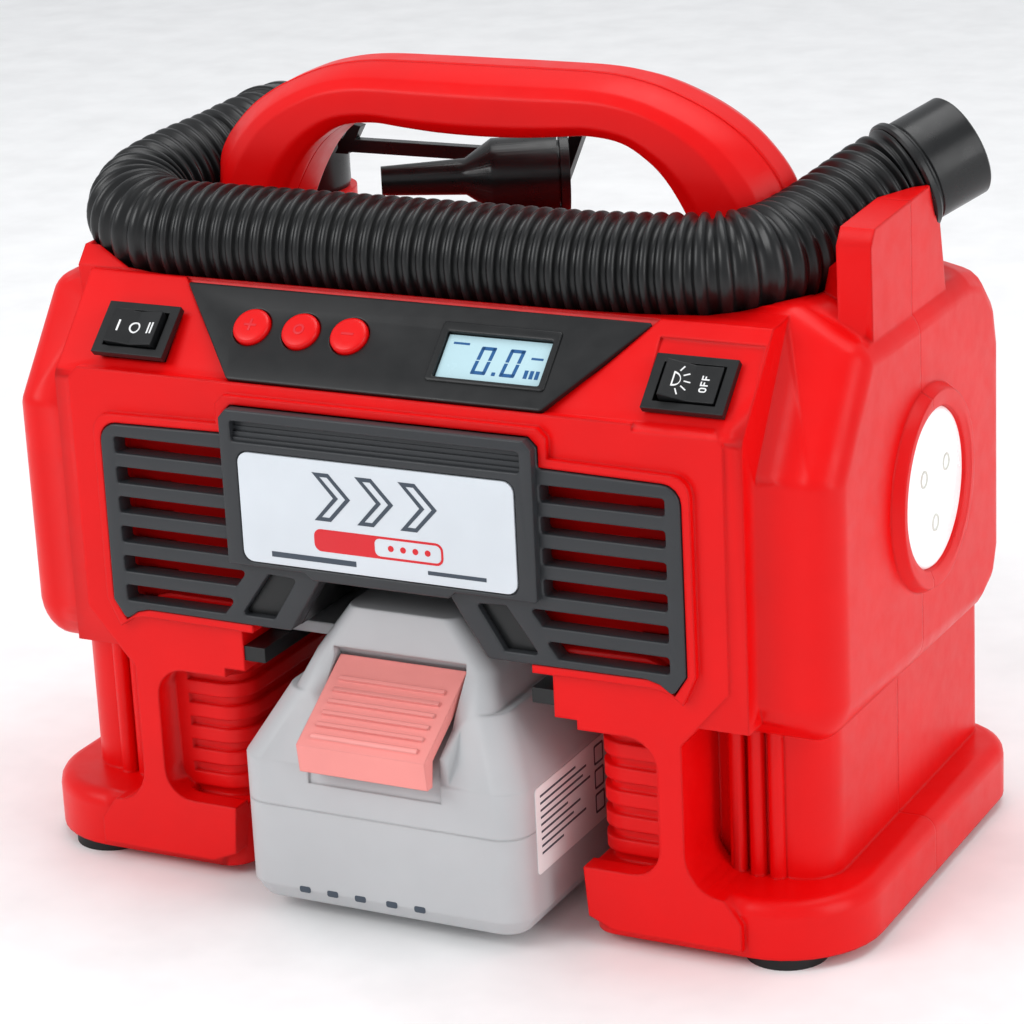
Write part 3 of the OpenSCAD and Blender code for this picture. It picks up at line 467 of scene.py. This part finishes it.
class INFLATOR_OT_finishes(bpy.types.Operator):
    """Makes every finish and gives it to the CAD nodes"""
    bl_idname = "inflator.finishes"
    bl_label = "Finishes"

    def execute(self, context):
        f = context.scene.inflator_finish
        grain = f.grain
        black = np.asarray(f.black)
        MATERIALS.update({
            "red_shell": moulded("red_shell", f.shell, rough=0.36, grain=grain, edge=0.0010, gloss=0.22),
            "red_button": moulded("red_button", f.shell, rough=0.34, grain=grain, edge=0.0004, gloss=0.3),
            "charcoal_trim": moulded("charcoal_trim", f.trim, rough=0.42, grain=grain, edge=0.0005),
            "black_plastic": moulded("black_plastic", black, rough=0.36, grain=grain, edge=0.0004),
            "hose_plastic": moulded("hose_plastic", black * 0.9, rough=0.34, grain=0.002, edge=0),
            "nozzle_plastic": moulded("nozzle_plastic", black, rough=0.30, grain=0.001, edge=0.0003),
            "label_film": moulded("label_film", f.label, rough=0.38, grain=0.0005, depth=0.05, edge=0),
            "display_glass": glow("display_glass", linear((176, 206, 214)), 0.12),
            "circuit_board": moulded("circuit_board", linear((30, 100, 50))),
            "lamp_diffuser": glow("lamp_diffuser", linear((242, 242, 242)), 0.18),
            "lamp_parts": moulded("lamp_parts", linear((225, 225, 215)), rough=0.3),
            "foot_rubber": moulded("foot_rubber", black * 0.8, rough=0.6, grain=0.0006, depth=0.05),
            "pack_shell": moulded("pack_shell", f.pack, rough=0.42, grain=grain, edge=0.0012),
            "latch_plastic": moulded("latch_plastic", f.latch, rough=0.40, grain=grain, edge=0.0006),
            "pack_cells": moulded("pack_cells", linear((40, 100, 170)), rough=0.25, coat=0.5),
            "sticker": moulded("sticker", linear((236, 236, 236)), rough=0.4, edge=0),
            "gear_plastic": moulded("gear_plastic", linear((222, 218, 205)), rough=0.4),
            "soft_tube": moulded("soft_tube", black, rough=0.5),
            "ink": moulded("ink", linear((62, 72, 84)), rough=0.4, edge=0),
            "ink_red": moulded("ink_red", linear((214, 30, 40)), rough=0.4, edge=0),
            "ink_white": moulded("ink_white", linear((235, 235, 235)), rough=0.4, edge=0),
            "ink_blue": moulded("ink_blue", linear((25, 85, 140)), rough=0.4, edge=0),
            "screw_steel": metal("screw_steel", (0.55, 0.56, 0.58), 0.30),
            "motor_steel": metal("motor_steel", (0.50, 0.51, 0.53), 0.35),
            "pump_alloy": metal("pump_alloy", (0.60, 0.61, 0.63), 0.48),
            "brass_fitting": metal("brass_fitting", (0.72, 0.52, 0.22), 0.28),
            "contact_copper": metal("contact_copper", (0.75, 0.48, 0.28), 0.25),
        })
        for node, obj in frame["nodes"].items():
            obj.data.materials.clear()
            obj.data.materials.append(finish_of(slot_of(node)))
        return {"FINISHED"}


# ---- stage ------------------------------------------------------------------------------

CAMERA_SPOT = (0.39735, -0.74586, 0.37551)
CAMERA_TURN = (27.71, 18.70, -2.81)   # azimuth, elevation and roll in degrees


class INFLATOR_OT_stage(bpy.types.Operator):
    """Camera, soft studio light and a plain pale floor"""
    bl_idname = "inflator.stage"
    bl_label = "Stage"

    def area(self, name, spot, size, power, target=(0, 0, 0.09)):
        """Rectangular light at a spot, aimed at the target."""
        lamp = bpy.data.lights.new(name, "AREA")
        lamp.shape = "RECTANGLE"
        lamp.size, lamp.size_y = size
        lamp.energy = power
        obj = linked(name, lamp)
        obj.location = spot
        obj.rotation_euler = (Vector(target) - Vector(spot)).to_track_quat("-Z", "Y").to_euler()

    def execute(self, context):
        scene = context.scene
        scene.view_settings.view_transform = "Standard"
        azimuth, elevation, roll = (math.radians(angle) for angle in CAMERA_TURN)
        back = Vector((math.sin(azimuth) * math.cos(elevation), -math.cos(azimuth) * math.cos(elevation),
                       math.sin(elevation)))
        level = Vector((math.cos(azimuth), math.sin(azimuth), 0))
        upright = back.cross(level)
        right = math.cos(roll) * level + math.sin(roll) * upright
        up = -math.sin(roll) * level + math.cos(roll) * upright
        camera = bpy.data.cameras.new("camera")
        camera.lens = 120.57
        camera.sensor_width = 36
        camera.clip_end = 20
        viewer = linked("camera", camera)
        turned = Matrix((right, up, back)).transposed().to_4x4()
        viewer.matrix_world = Matrix.Translation(CAMERA_SPOT) @ turned
        scene.camera = viewer

        floor = plate("floor", [[(-4, -4), (4, -4), (4, 4), (-4, 4)]], -0.02, 0.0, 0.005,
                      lambda p: np.asarray(p))
        floor.data.materials.append(moulded("floor_paper", (0.94, 0.94, 0.94), rough=0.7, grain=0.01, edge=0))

        world = bpy.data.worlds.new("studio")
        world.use_nodes = True
        world.node_tree.nodes["Background"].inputs["Color"].default_value = (0.95, 0.97, 1.0, 1)
        world.node_tree.nodes["Background"].inputs["Strength"].default_value = 0.62
        scene.world = world
        self.area("key", (-0.9, -1.2, 1.1), (1.0, 0.8), 13)
        self.area("side", (1.5, -0.3, 0.6), (0.7, 1.0), 7)
        self.area("top", (0.1, 0.3, 1.5), (1.2, 0.8), 9)
        return {"FINISHED"}


# ---- housing and handle -----------------------------------------------------------------

class INFLATOR_OT_housing(bpy.types.Operator):
    """Both halves of the clamshell, with merged faces and soft edges"""
    bl_idname = "inflator.housing"
    bl_label = "Housing"

    def execute(self, context):
        dress_copies("front_housing", "rear_housing")
        return {"FINISHED"}


# Half curves of the arch (x, z) from foot to crown, and its section (y, z) at the crown
HANDLE_OUTER = [(83, 158), (82.6, 171), (80.2, 180.8), (72.4, 190.3), (63.4, 196.7), (53.4, 201.3),
                (44.3, 204.2), (33, 205.9), (16, 206.2), (0, 206.2)]
HANDLE_INNER = [(62.8, 158), (56.8, 171.6), (50.9, 181), (44.8, 186.4), (38.7, 189.4), (30, 190.4),
                (22, 189.7), (12, 188.9), (0, 188.6)]
HANDLE_SECTION = [(61.6, 192.0), (62.2, 199.2), (64.6, 202), (71, 205.7), (78, 206.1), (84, 204.2),
                  (86, 200.8), (86, 192), (83.8, 188.7), (64, 188.7)]
CROWN_LOW, CROWN_HIGH = HANDLE_INNER[-1][1], HANDLE_OUTER[-1][1]
CROWN_MIDDLE = 197
ARCH_CENTRE_Z = 150          # the arch is swept in angles about this height


class INFLATOR_OT_handle(bpy.types.Operator):
    """Both halves of the arched handle"""
    bl_idname = "inflator.handle"
    bl_label = "Handle"

    def radius_at(self, points, angles):
        """Distance of a smooth arch curve from the arch's centre, by angle from level."""
        curve = smooth_path(points + flipped(points[:-1]), 0.5, 3) - [0, ARCH_CENTRE_Z]
        polar = np.arctan2(curve[:, 1], curve[:, 0])
        return np.interp(angles, polar, np.hypot(curve[:, 0], curve[:, 1]))

    def half(self, name, section, node):
        """Section (y, z) at the crown, carried round the arch between its inner and outer curves."""
        angles = np.radians(np.linspace(8, 172, 181))
        outer, inner = (self.radius_at(c, angles) for c in (HANDLE_OUTER, HANDLE_INNER))
        level = (section[:, 1] - CROWN_LOW) / (CROWN_HIGH - CROWN_LOW)
        reach = inner[:, None] + (outer - inner)[:, None] * level[None]
        x, z = reach * np.cos(angles)[:, None], ARCH_CENTRE_Z + reach * np.sin(angles)[:, None]
        y = np.broadcast_to(section[:, 0], x.shape)
        piece = loft(name, place(np.stack([x, y, z], -1)))
        dressed(piece, finish_of("red_shell"), "red_shell", "body", node)

    def execute(self, context):
        section = rounded(HANDLE_SECTION, [2, 1.5, 2.5, 3, 3, 3, 2, 2, 1.5, 2], 4)
        chamfer, gap = 0.25, 0.02
        for node, side in (("handle_front", -1), ("handle_rear", 1)):
            own = section[(section[:, 0] - SEAM_Y) * side > chamfer + 0.2]
            start = np.argmax(np.hypot(*np.diff(np.vstack([own, own[:1]]), axis=0).T)) + 1
            own = np.roll(own, -start, axis=0)
            first, last = own[0], own[-1]
            inset = [(SEAM_Y + side * chamfer, last[1]),
                     (SEAM_Y + side * gap, last[1] - np.sign(last[1] - CROWN_MIDDLE) * chamfer),
                     (SEAM_Y + side * gap, first[1] - np.sign(first[1] - CROWN_MIDDLE) * chamfer),
                     (SEAM_Y + side * chamfer, first[1])]
            self.half(node + "_arch", np.vstack([own, inset]), node)
        return {"FINISHED"}


# ---- hose -------------------------------------------------------------------------------

# Middle of the hose in mm, from its port at the left rear to its free end
HOSE_ROUTE = [
    (-84, 100, 175.5), (-84, 96.5, 175.5), (-85.6, 90.5, 174.8), (-88.7, 83.5, 173), (-92.5, 75, 171.4),
    (-95.5, 66, 169.8), (-96.5, 58, 168.2), (-94, 50, 166.4), (-88.5, 44.5, 165.2), (-81.5, 41.5, 164.5),
    (-73, 41, 164), (-60, 41, 164), (-40, 41, 164), (-20, 41, 164), (0, 41, 164),
    (20, 41, 164), (40, 41, 164), (58, 42, 164.5), (72, 44, 165), (80, 49, 165.5),
    (84, 56, 166), (87.5, 65, 167.5), (91.2, 74, 170), (94.8, 82.5, 173), (98, 89.7, 175.4),
    (101.6, 93.99, 177.53),
]
FREE_DIR = np.subtract(HOSE_ROUTE[-1], HOSE_ROUTE[-2])
FREE_DIR /= np.linalg.norm(FREE_DIR)
PORT = (-84, 118.5, 175.5)   # corner that the elbow turns round
BORE_R = 11.9                # bore of both collars
HOSE_END_R = 11.5            # the hose's own end, which closes the collar's mouth


class INFLATOR_OT_hose(bpy.types.Operator):
    """Corrugated hose, its two collars and the elbow it leaves from"""
    bl_idname = "inflator.hose"
    bl_label = "Hose"

    def collar_profile(self, length, ridge, sleeve):
        """Sleeve from its hose end to its mouth: ridge, waist, sleeve, rounded lip and bore."""
        return [(HOSE_END_R, 0), (ridge - 0.6, 0), (ridge, 0.6), (ridge, 1.9), (ridge - 0.5, 2.5),
                (sleeve - 0.35, 2.6), (sleeve - 0.35, 3.4), (sleeve, 3.8), (sleeve, length - 0.5),
                (sleeve - 0.5, length), (BORE_R + 0.3, length), (BORE_R, length - 0.4), (BORE_R, 2.2),
                (HOSE_END_R, 2.0)]

    def execute(self, context):
        hose = context.scene.inflator_hose
        path = smooth_path(place(HOSE_ROUTE), hose.pitch / 10, 20)
        run = np.linspace(0, len(path) / 10, len(path))
        wave = np.cos(math.tau * run)
        ridge = 0.5 + 0.5 * np.tanh(2.0 * wave) / math.tanh(2.0)
        radius = hose.valley + (hose.outer - hose.valley) * ridge
        tube = loft("hose_corrugated", tube_rings(path, radius, 48), smooth=80)
        dressed(tube, finish_of("hose_plastic"), "hose_plastic", "body", "hose")

        free = lathe("free_collar", self.collar_profile(18, 14.6, 13.3), place(HOSE_ROUTE[-1]), FREE_DIR)
        dressed(free, finish_of("nozzle_plastic"), "nozzle_plastic", "body", "hose_end_collar")
        held = lathe("port_collar", self.collar_profile(8, 14.4, 13.6), place(HOSE_ROUTE[0]), (0, 1, 0))
        dressed(held, finish_of("nozzle_plastic"), "nozzle_plastic", "body", "hose_port_collar")
        elbow = self.elbow()
        return {"FINISHED"}

    def elbow(self):
        """Tube up from the housing and round a quarter circle into the collar, with a flange."""
        bend, steps = 9.0, 14
        t = np.linspace(0, math.pi / 2, steps)
        turn = np.stack([np.zeros(steps), PORT[1] - bend + bend * np.cos(t),
                         PORT[2] - bend + bend * np.sin(t)], -1)
        foot = [[0, PORT[1], 132], [0, PORT[1], 150], [0, PORT[1], 159.4]]
        spigot = [[0, 104, PORT[2]], [0, 102.3, PORT[2]]]
        line = np.vstack([foot, turn, spigot]) + [PORT[0], 0, 0]
        tangent = np.gradient(line, axis=0)
        tangent /= np.linalg.norm(tangent, axis=1, keepdims=True)
        side = np.array([1.0, 0, 0])
        up = np.cross(tangent, side)
        a = np.linspace(0, math.tau, 48, endpoint=False)
        radius = np.full(len(line), 12.9)
        radius[:2] = 9.9
        radius[-2:] = 11.7
        ring = np.cos(a)[None, :, None] * side + np.sin(a)[None, :, None] * up[:, None]
        bent = loft("hose_elbow", place(line[:, None] + radius[:, None, None] * ring), smooth=50)
        flange = lathe("elbow_flange", [(12, 0), (13.4, 0), (13.8, 0.4), (13.8, 2.2), (13.4, 2.6), (12, 2.6)],
                       place((PORT[0], 108.4, PORT[2])), (0, 1, 0))
        dressed(flange, finish_of("nozzle_plastic"), "nozzle_plastic", "body")
        return dressed(bent, finish_of("nozzle_plastic"), "nozzle_plastic", "body", "hose_port")


# ---- louvre panel and label -------------------------------------------------------------

SLOT_TOP, SLOT_PITCH, SLOT_H = 120.3, 7.95, 4.3
# Right halves (x, z) of the panel and of the bezel round the label
PANEL_HALF = [(41, 131.7), (43.4, 129.4), (43.4, 124.2), *arc_points((75.5, 118.8), 4.8, 90, 0, 5),
              (80.5, 76), (77, 70.9), (73.5, 73.4), (70, 74.3), (27.8, 74), (18, 89.3)]
BEZEL_HALF = [(41, 131.7), (43.2, 129.4), (43.2, 91), (21, 91), (19, 89.3)]
NOTCH = [(25.2, 88), (33.4, 88.4), (42, 76.6), (32.4, 76.6)]


class INFLATOR_OT_front(bpy.types.Operator):
    """Louvre panel with its slots, the label and the channel over it"""
    bl_idname = "inflator.front"
    bl_label = "Front"

    def slots(self):
        """Outlines of the slots on the right; the two lowest have slanted inner ends."""
        inner = [(43.8, 43.8)] * 4 + [(39.5, 43.0), (43.5, 47.0)]
        for i, (top_in, low_in) in enumerate(inner):
            hi = SLOT_TOP - SLOT_PITCH * i
            lo = hi - SLOT_H
            yield rounded([(top_in, hi), (76.4, hi), (76.4, lo), (low_in, lo)], 0.8, 3)

    def label(self):
        """Silver label with generic marks: three arrows, a pill and two bars."""
        film = rounded(box_outline((-38.2, 92.6), (38.2, 121.1)), 2.8)
        film = plate("label_film", [film], -1.6, -0.7, 0.12, on_front)
        dressed(film, finish_of("label_film"), "label_film", "body", "label_plate")
        arrows = []
        for x in (-17, -5, 7):
            outer = [(x, 105.6), (x + 4.6, 105.6), (x + 10.4, 111.8), (x + 4.6, 118), (x, 118),
                     (x + 5.6, 111.8)]
            inner = [(x + 2.1, 106.6), (x + 4.2, 106.6), (x + 9, 111.8), (x + 4.2, 117), (x + 2.1, 117),
                     (x + 7, 111.8)]
            arrows.append([outer, inner[::-1]])
        bars = [box_outline((-30, 94.6), (-6, 96)), box_outline((14, 95), (30, 96))]
        pill = rounded(box_outline((-17.5, 97.6), (18.5, 103.4)), 2)
        window = rounded(box_outline((-0.5, 98.2), (17.9, 102.8)), 1.5)
        dots = [ring_outline((4 + 3.4 * i, 100.5), 0.8, 16) for i in range(4)]
        for name, shapes, ink in (("label_arrows", arrows + bars, "ink"),
                                  ("label_pill", [[pill, window]], "ink_red"),
                                  ("label_dots", dots, "ink_red")):
            printed(name, shapes, -0.72, -0.62, on_front, ink, "label_film", "body")

    def execute(self, context):
        trim = finish_of("charcoal_trim")
        holes = [o for slot in self.slots() for o in (slot, flipped(slot))]
        notches = [rounded(o, 0.7, 3) for o in (NOTCH, flipped(NOTCH))]
        base = plate("louvre_skin", [rounded(both_halves(PANEL_HALF), 1.2, 3), *holes, *notches],
                     -9, -3.4, 0.45, on_front)
        dressed(base, trim, "charcoal_trim", "body", "louvre_panel")
        channel = rounded(box_outline((-40, 123.6), (40, 128.8)), 0.8, 3)
        well = rounded(box_outline((-38.5, 92.3), (38.5, 121.4)), 3)
        bezel = plate("louvre_bezel", [rounded(both_halves(BEZEL_HALF), 0.8, 3), channel, well],
                      -5.6, -0.8, 0.5, on_front)
        dressed(bezel, trim, "charcoal_trim", "body")
        floor = plate("bezel_floor", [box_outline((-42.4, 91.4), (42.4, 123))], -3.6, -1.62, 0.1, on_front)
        dressed(floor, trim, "charcoal_trim", "body")
        for i, (drop, deep) in enumerate(((0, 4.6), (1.3, 3.9), (2.6, 3.2), (3.9, 2.5))):
            tread = box_outline((-40.4, 123.2), (40.4, 128.4 - drop))
            step = plate(f"channel_step_{i}", [tread], -5.2, 0.7 - deep, 0.15, on_front)
            dressed(step, trim, "charcoal_trim", "body")
        # The notch floors belong to the charcoal trim but get the black finish: painted shade in the recess
        # behind each notch.
        for side, notch in zip("ab", (NOTCH, flipped(NOTCH))):
            back = plate(f"notch_floor_{side}", [notch], -8.6, -5.6, 0.1, on_front)
            dressed(back, finish_of("black_plastic"), "charcoal_trim", "body")
        self.label()
        return {"FINISHED"}


# ---- control deck -----------------------------------------------------------------------

BUTTON_X = (-41.5, -27.5, -13.7)
BUTTON_S = 15.1
LEFT_PADDLE, RIGHT_PADDLE = (-73.3, 10.6), (79, 11)   # middles of the rockers on the deck
PADDLE_SLOPE = 0.174         # rise of each wing of a paddle
RIGHT_TIP = math.radians(9)  # the right rocker rests tipped


class INFLATOR_OT_deck(bpy.types.Operator):
    """Control panel, display, push buttons and the marks of the two rocker switches"""
    bl_idname = "inflator.deck"
    bl_label = "Control deck"

    def nought(self, x, s, high):
        """Seven-segment nought whose strokes lean to the right; x and s are its lower left corner."""
        wide, thick, gap, mid = high * 0.52, high * 0.12, high * 0.02, high / 2
        bars = [(gap, high - thick, wide - gap, high), (wide - thick, mid + gap, wide, high - gap),
                (wide - thick, gap, wide, mid - gap), (gap, 0, wide - gap, thick),
                (0, gap, thick, mid - gap), (0, mid + gap, thick, high - gap)]
        for x0, s0, x1, s1 in bars:
            yield [(x + u + 0.12 * v, s + v) for u, v in box_outline((x0, s0), (x1, s1))]

    def display(self):
        """Glass, its figures and the lip round it."""
        glass = plate("display_glass", [box_outline((12.7, 6.5), (40.9, 18.8))], -3.5, -0.2, 0.1, on_deck)
        dressed(glass, finish_of("display_glass"), "display_glass", "body", "display_module")
        shapes = [*self.nought(21.6, 8.4, 7.8), *self.nought(29.4, 8.4, 7.8),
                  box_outline((27.3, 8.4), (28.3, 9.4))]
        shapes += [box_outline((35.8 + 1.5 * i, 8.5), (36.8 + 1.5 * i, 10.8)) for i in range(3)]
        shapes += [box_outline((36.4, 13.8), (39.6, 14.4)), box_outline((14.6, 16.2), (19, 16.8))]
        printed("display_figures", shapes, -0.22, -0.15, on_deck, "ink_blue", "display_glass", "body")
        rims = [rounded(box_outline((10.6, 5.0), (42.8, 21.8)), 1, 3),
                rounded(box_outline((12.5, 6.3), (41.1, 19)), 0.5, 3)]
        lip = plate("display_lip", rims, 0.2, 1.0, 0.35, on_deck)
        dressed(lip, finish_of("black_plastic"), "black_plastic", "body")

    def buttons(self, radius):
        """Three domed caps, each with its sign."""
        profile = [(0, -4.4), (6.1, -4.4), (6.1, -3.1), (radius, -3.1), (radius, 1.0), (radius - 0.3, 1.45),
                   (radius - 0.9, 1.66), (radius - 2.4, 1.76), (0, 1.8)]
        cross = [(-1.7, -0.3), (-0.3, -0.3), (-0.3, -1.7), (0.3, -1.7), (0.3, -0.3), (1.7, -0.3), (1.7, 0.3),
                 (0.3, 0.3), (0.3, 1.7), (-0.3, 1.7), (-0.3, 0.3), (-1.7, 0.3)]
        signs = {"plus": cross, "mode": [ring_outline((0, 0), 1.5), ring_outline((0, 0), 0.9)[::-1]],
                 "minus": box_outline((-1.7, -0.3), (1.7, 0.3))}
        up = (0, -math.sin(DECK_TILT), math.cos(DECK_TILT))
        for (key, sign), x in zip(signs.items(), BUTTON_X):
            cap = lathe(f"{key}_cap", profile, on_deck((x, BUTTON_S, 0)), up, 48)
            dressed(cap, finish_of("red_button"), "red_button", f"{key}_button", f"button_{key}")
            printed(f"{key}_sign", [sign], 1.72, 1.88,
                    lambda p, x=x: on_deck(np.asarray(p) + [x, BUTTON_S, 0]),
                    "ink_red", "red_button", f"{key}_button")

    def left_marks(self):
        """One stroke, a ring and two strokes, which follow the shallow V of the paddle."""
        stroke = box_outline((-0.25, -1.6), (0.25, 1.6))
        shapes = [[(u + x, v) for u, v in stroke] for x in (-4.6, 4.3, 5.3)]
        shapes.insert(1, [ring_outline((0, 0), 1.6), ring_outline((0, 0), 1.15)])

        def on_left(p):
            p = np.asarray(p)
            lift = 2.42 + np.abs(p[:, 0]) * PADDLE_SLOPE
            return on_deck(np.stack([p[:, 0] + LEFT_PADDLE[0], p[:, 1] + LEFT_PADDLE[1], p[:, 2] + lift], -1))

        printed("left_marks", shapes, 0.0, 0.06, on_left, "ink_white", "black_plastic", "left_paddle")

    def right_marks(self):
        """A lamp with five rays, and the word OFF, which reads up the slope."""
        lamp_x, base_x = -4.5, 4.3
        turn = np.radians(np.linspace(-90, 90, 15))

        def dome(r, back):
            return [(lamp_x + back + r * math.cos(t), r * math.sin(t)) for t in turn]

        def up_slope(shape, v):
            return [(base_x - b, v + a) for a, b in shape]

        shapes = [[dome(2.0, 0), dome(1.45, 0.35)[::-1]]]
        for t in np.radians((-62, -31, 0, 31, 62)):
            c, w = math.cos(t), math.sin(t)
            shapes.append([(lamp_x + r * c - n * w, r * w + n * c)
                           for r, n in ((2.7, -0.17), (4.3, -0.17), (4.3, 0.17), (2.7, 0.17))])
        letter_f = [(0, 0), (0.36, 0), (0.36, 0.85), (1.05, 0.85), (1.05, 1.2), (0.36, 1.2), (0.36, 1.65),
                    (1.2, 1.65), (1.2, 2), (0, 2)]
        shapes.append([up_slope(rounded(box_outline((0, 0), (1.3, 2)), 0.6, 3), -2.3),
                       up_slope(rounded(box_outline((0.35, 0.35), (0.95, 1.65)), 0.28, 3), -2.3)])
        shapes += [up_slope(letter_f, -0.6), up_slope(letter_f, 1.0)]

        def on_right(p):
            p = np.asarray(p)
            x, n = p[:, 0], p[:, 2] + 3.42 + np.abs(p[:, 0]) * PADDLE_SLOPE
            u = x * math.cos(RIGHT_TIP) + n * math.sin(RIGHT_TIP)
            w = n * math.cos(RIGHT_TIP) - x * math.sin(RIGHT_TIP)
            return on_deck(np.stack([u + RIGHT_PADDLE[0], p[:, 1] + RIGHT_PADDLE[1], w - 2.2], -1))

        printed("right_marks", shapes, 0.0, 0.06, on_right, "ink_white", "black_plastic", "right_paddle")

    def execute(self, context):
        radius = context.scene.inflator_deck.button / MM / 2
        panel = rounded([(-43.4, 0), (43.4, 0), (64.9, 26.6), (-64.9, 26.6)], [1.5, 1.5, 0.5, 0.5], 4)
        holes = [ring_outline((x, BUTTON_S), radius + 0.3, 40) for x in BUTTON_X]
        holes.append(box_outline((12.4, 6.2), (41.2, 19.1)))
        top = plate("deck_panel", [panel, *holes], -1.4, 0.5, 0.35, on_deck)
        dressed(top, finish_of("black_plastic"), "black_plastic", "body", "control_panel")
        self.display()
        self.buttons(radius)
        self.left_marks()
        self.right_marks()
        dress_copies("left_switch_body", "right_switch_body", "left_rocker", "right_rocker")
        return {"FINISHED"}


# ---- lamp -------------------------------------------------------------------------------

class INFLATOR_OT_lamp(bpy.types.Operator):
    """Milky lamp lens with the light diodes behind it"""
    bl_idname = "inflator.lamp"
    bl_label = "Lamp"

    def execute(self, context):
        centre = np.array([113.4, 76, 104.5])
        lens = lathe("lamp_disc", [(0, 0), (20.4, 0), (20.4, 2.4), (20.0, 2.9), (19.2, 3.1), (0, 3.2)],
                     place(centre), (1, 0, 0), 96)
        dressed(lens, finish_of("lamp_diffuser"), "lamp_diffuser", "body", "lamp_lens")
        for i, angle in enumerate(np.radians((60, 180, 300))):
            spot = centre + [3.1, 9 * math.sin(angle), 9 * math.cos(angle)]
            ring = lathe(f"diode_{i}", [(1.7, 0), (2.3, 0), (2.2, 0.3), (2.0, 0.4), (1.8, 0.3)], place(spot),
                         (1, 0, 0), 32)
            dressed(ring, finish_of("lamp_parts"), "lamp_diffuser", "body")
        return {"FINISHED"}


# ---- battery pack -----------------------------------------------------------------------

class INFLATOR_OT_pack(bpy.types.Operator):
    """Battery shells, latch, marks and sticker"""
    bl_idname = "inflator.pack"
    bl_label = "Battery pack"

    def execute(self, context):
        dress_copies("battery_upper_case", "battery_lower_case", "battery_latch")
        dots = [rounded(box_outline((x - 1.6, 8), (x + 1.6, 9.7)), 0.5, 2) for x in (-22, -14, -6, 3, 11)]
        printed("gauge_marks", dots, 7.98, 8.06, on_front, "ink", "pack_shell", "battery")

        def on_side(p):
            p = np.asarray(p)
            return place(np.stack([40 + p[:, 2], p[:, 0], p[:, 1]], -1))

        sheet = plate("sticker_sheet", [rounded(box_outline((1, 19), (45, 42)), 1.2)], 0, 0.22, 0.04, on_side)
        dressed(sheet, finish_of("sticker"), "sticker", "battery", "battery_sticker")
        lines = [box_outline((3.4, 39 - 1.9 * i), (3.4 + w, 39.6 - 1.9 * i))
                 for i, w in enumerate((20, 26, 24, 28, 15, 22, 18, 25, 12))]
        boxes = [[rounded(box_outline((34, z), (39.4, z + 5.4)), 0.6, 2),
                  rounded(box_outline((34.6, z + 0.6), (38.8, z + 4.8)), 0.4, 2)] for z in (22, 28.6, 35.2)]
        printed("sticker_lines", lines + boxes, 0.2, 0.27, on_side, "ink", "sticker", "battery")
        return {"FINISHED"}


# ---- rack, cone and the remaining trim --------------------------------------------------

class INFLATOR_OT_rack(bpy.types.Operator):
    """Nozzle rack, cone nozzle, feet and liners, with merged faces and soft edges"""
    bl_idname = "inflator.rack"
    bl_label = "Rack and trim"

    def execute(self, context):
        dress_copies("nozzle_rack", "nozzle_cone", "rubber_feet", "bay_liner", "bay_rails", "air_outlet")
        return {"FINISHED"}


# ---- panel ------------------------------------------------------------------------------

class INFLATOR_PT_parts(bpy.types.Panel):
    """Lists the inflator's pieces and settings"""
    bl_label = "Inflator"
    bl_idname = "INFLATOR_PT_parts"
    bl_space_type = "VIEW_3D"
    bl_region_type = "UI"
    bl_category = "Inflator"

    def draw(self, context):
        layout = self.layout
        for group in (getattr(context.scene, name) for name in GROUPS):
            for name in group.__annotations__:
                layout.prop(group, name)
        for step in STEPS:
            layout.operator(step.bl_idname)


STEPS = (INFLATOR_OT_finishes, INFLATOR_OT_stage, INFLATOR_OT_housing, INFLATOR_OT_handle, INFLATOR_OT_hose,
         INFLATOR_OT_front, INFLATOR_OT_deck, INFLATOR_OT_lamp, INFLATOR_OT_pack, INFLATOR_OT_rack)
GROUPS = {"inflator_finish": InflatorFinish, "inflator_hose": InflatorHose, "inflator_deck": InflatorDeck}
CLASSES = (*GROUPS.values(), *STEPS, INFLATOR_PT_parts)


def register():
    """Registers the classes and hangs the settings on the scene."""
    for cls in CLASSES:
        bpy.utils.register_class(cls)
    for name, group in GROUPS.items():
        setattr(bpy.types.Scene, name, PointerProperty(type=group))


def unregister():
    """Takes back what register did."""
    for name in GROUPS:
        delattr(bpy.types.Scene, name)
    for cls in reversed(CLASSES):
        bpy.utils.unregister_class(cls)


def main():
    """Runs every step in order."""
    register()
    for step in STEPS:
        group, name = step.bl_idname.split(".")
        getattr(getattr(bpy.ops, group), name)()


if __name__ == "__main__":
    main()
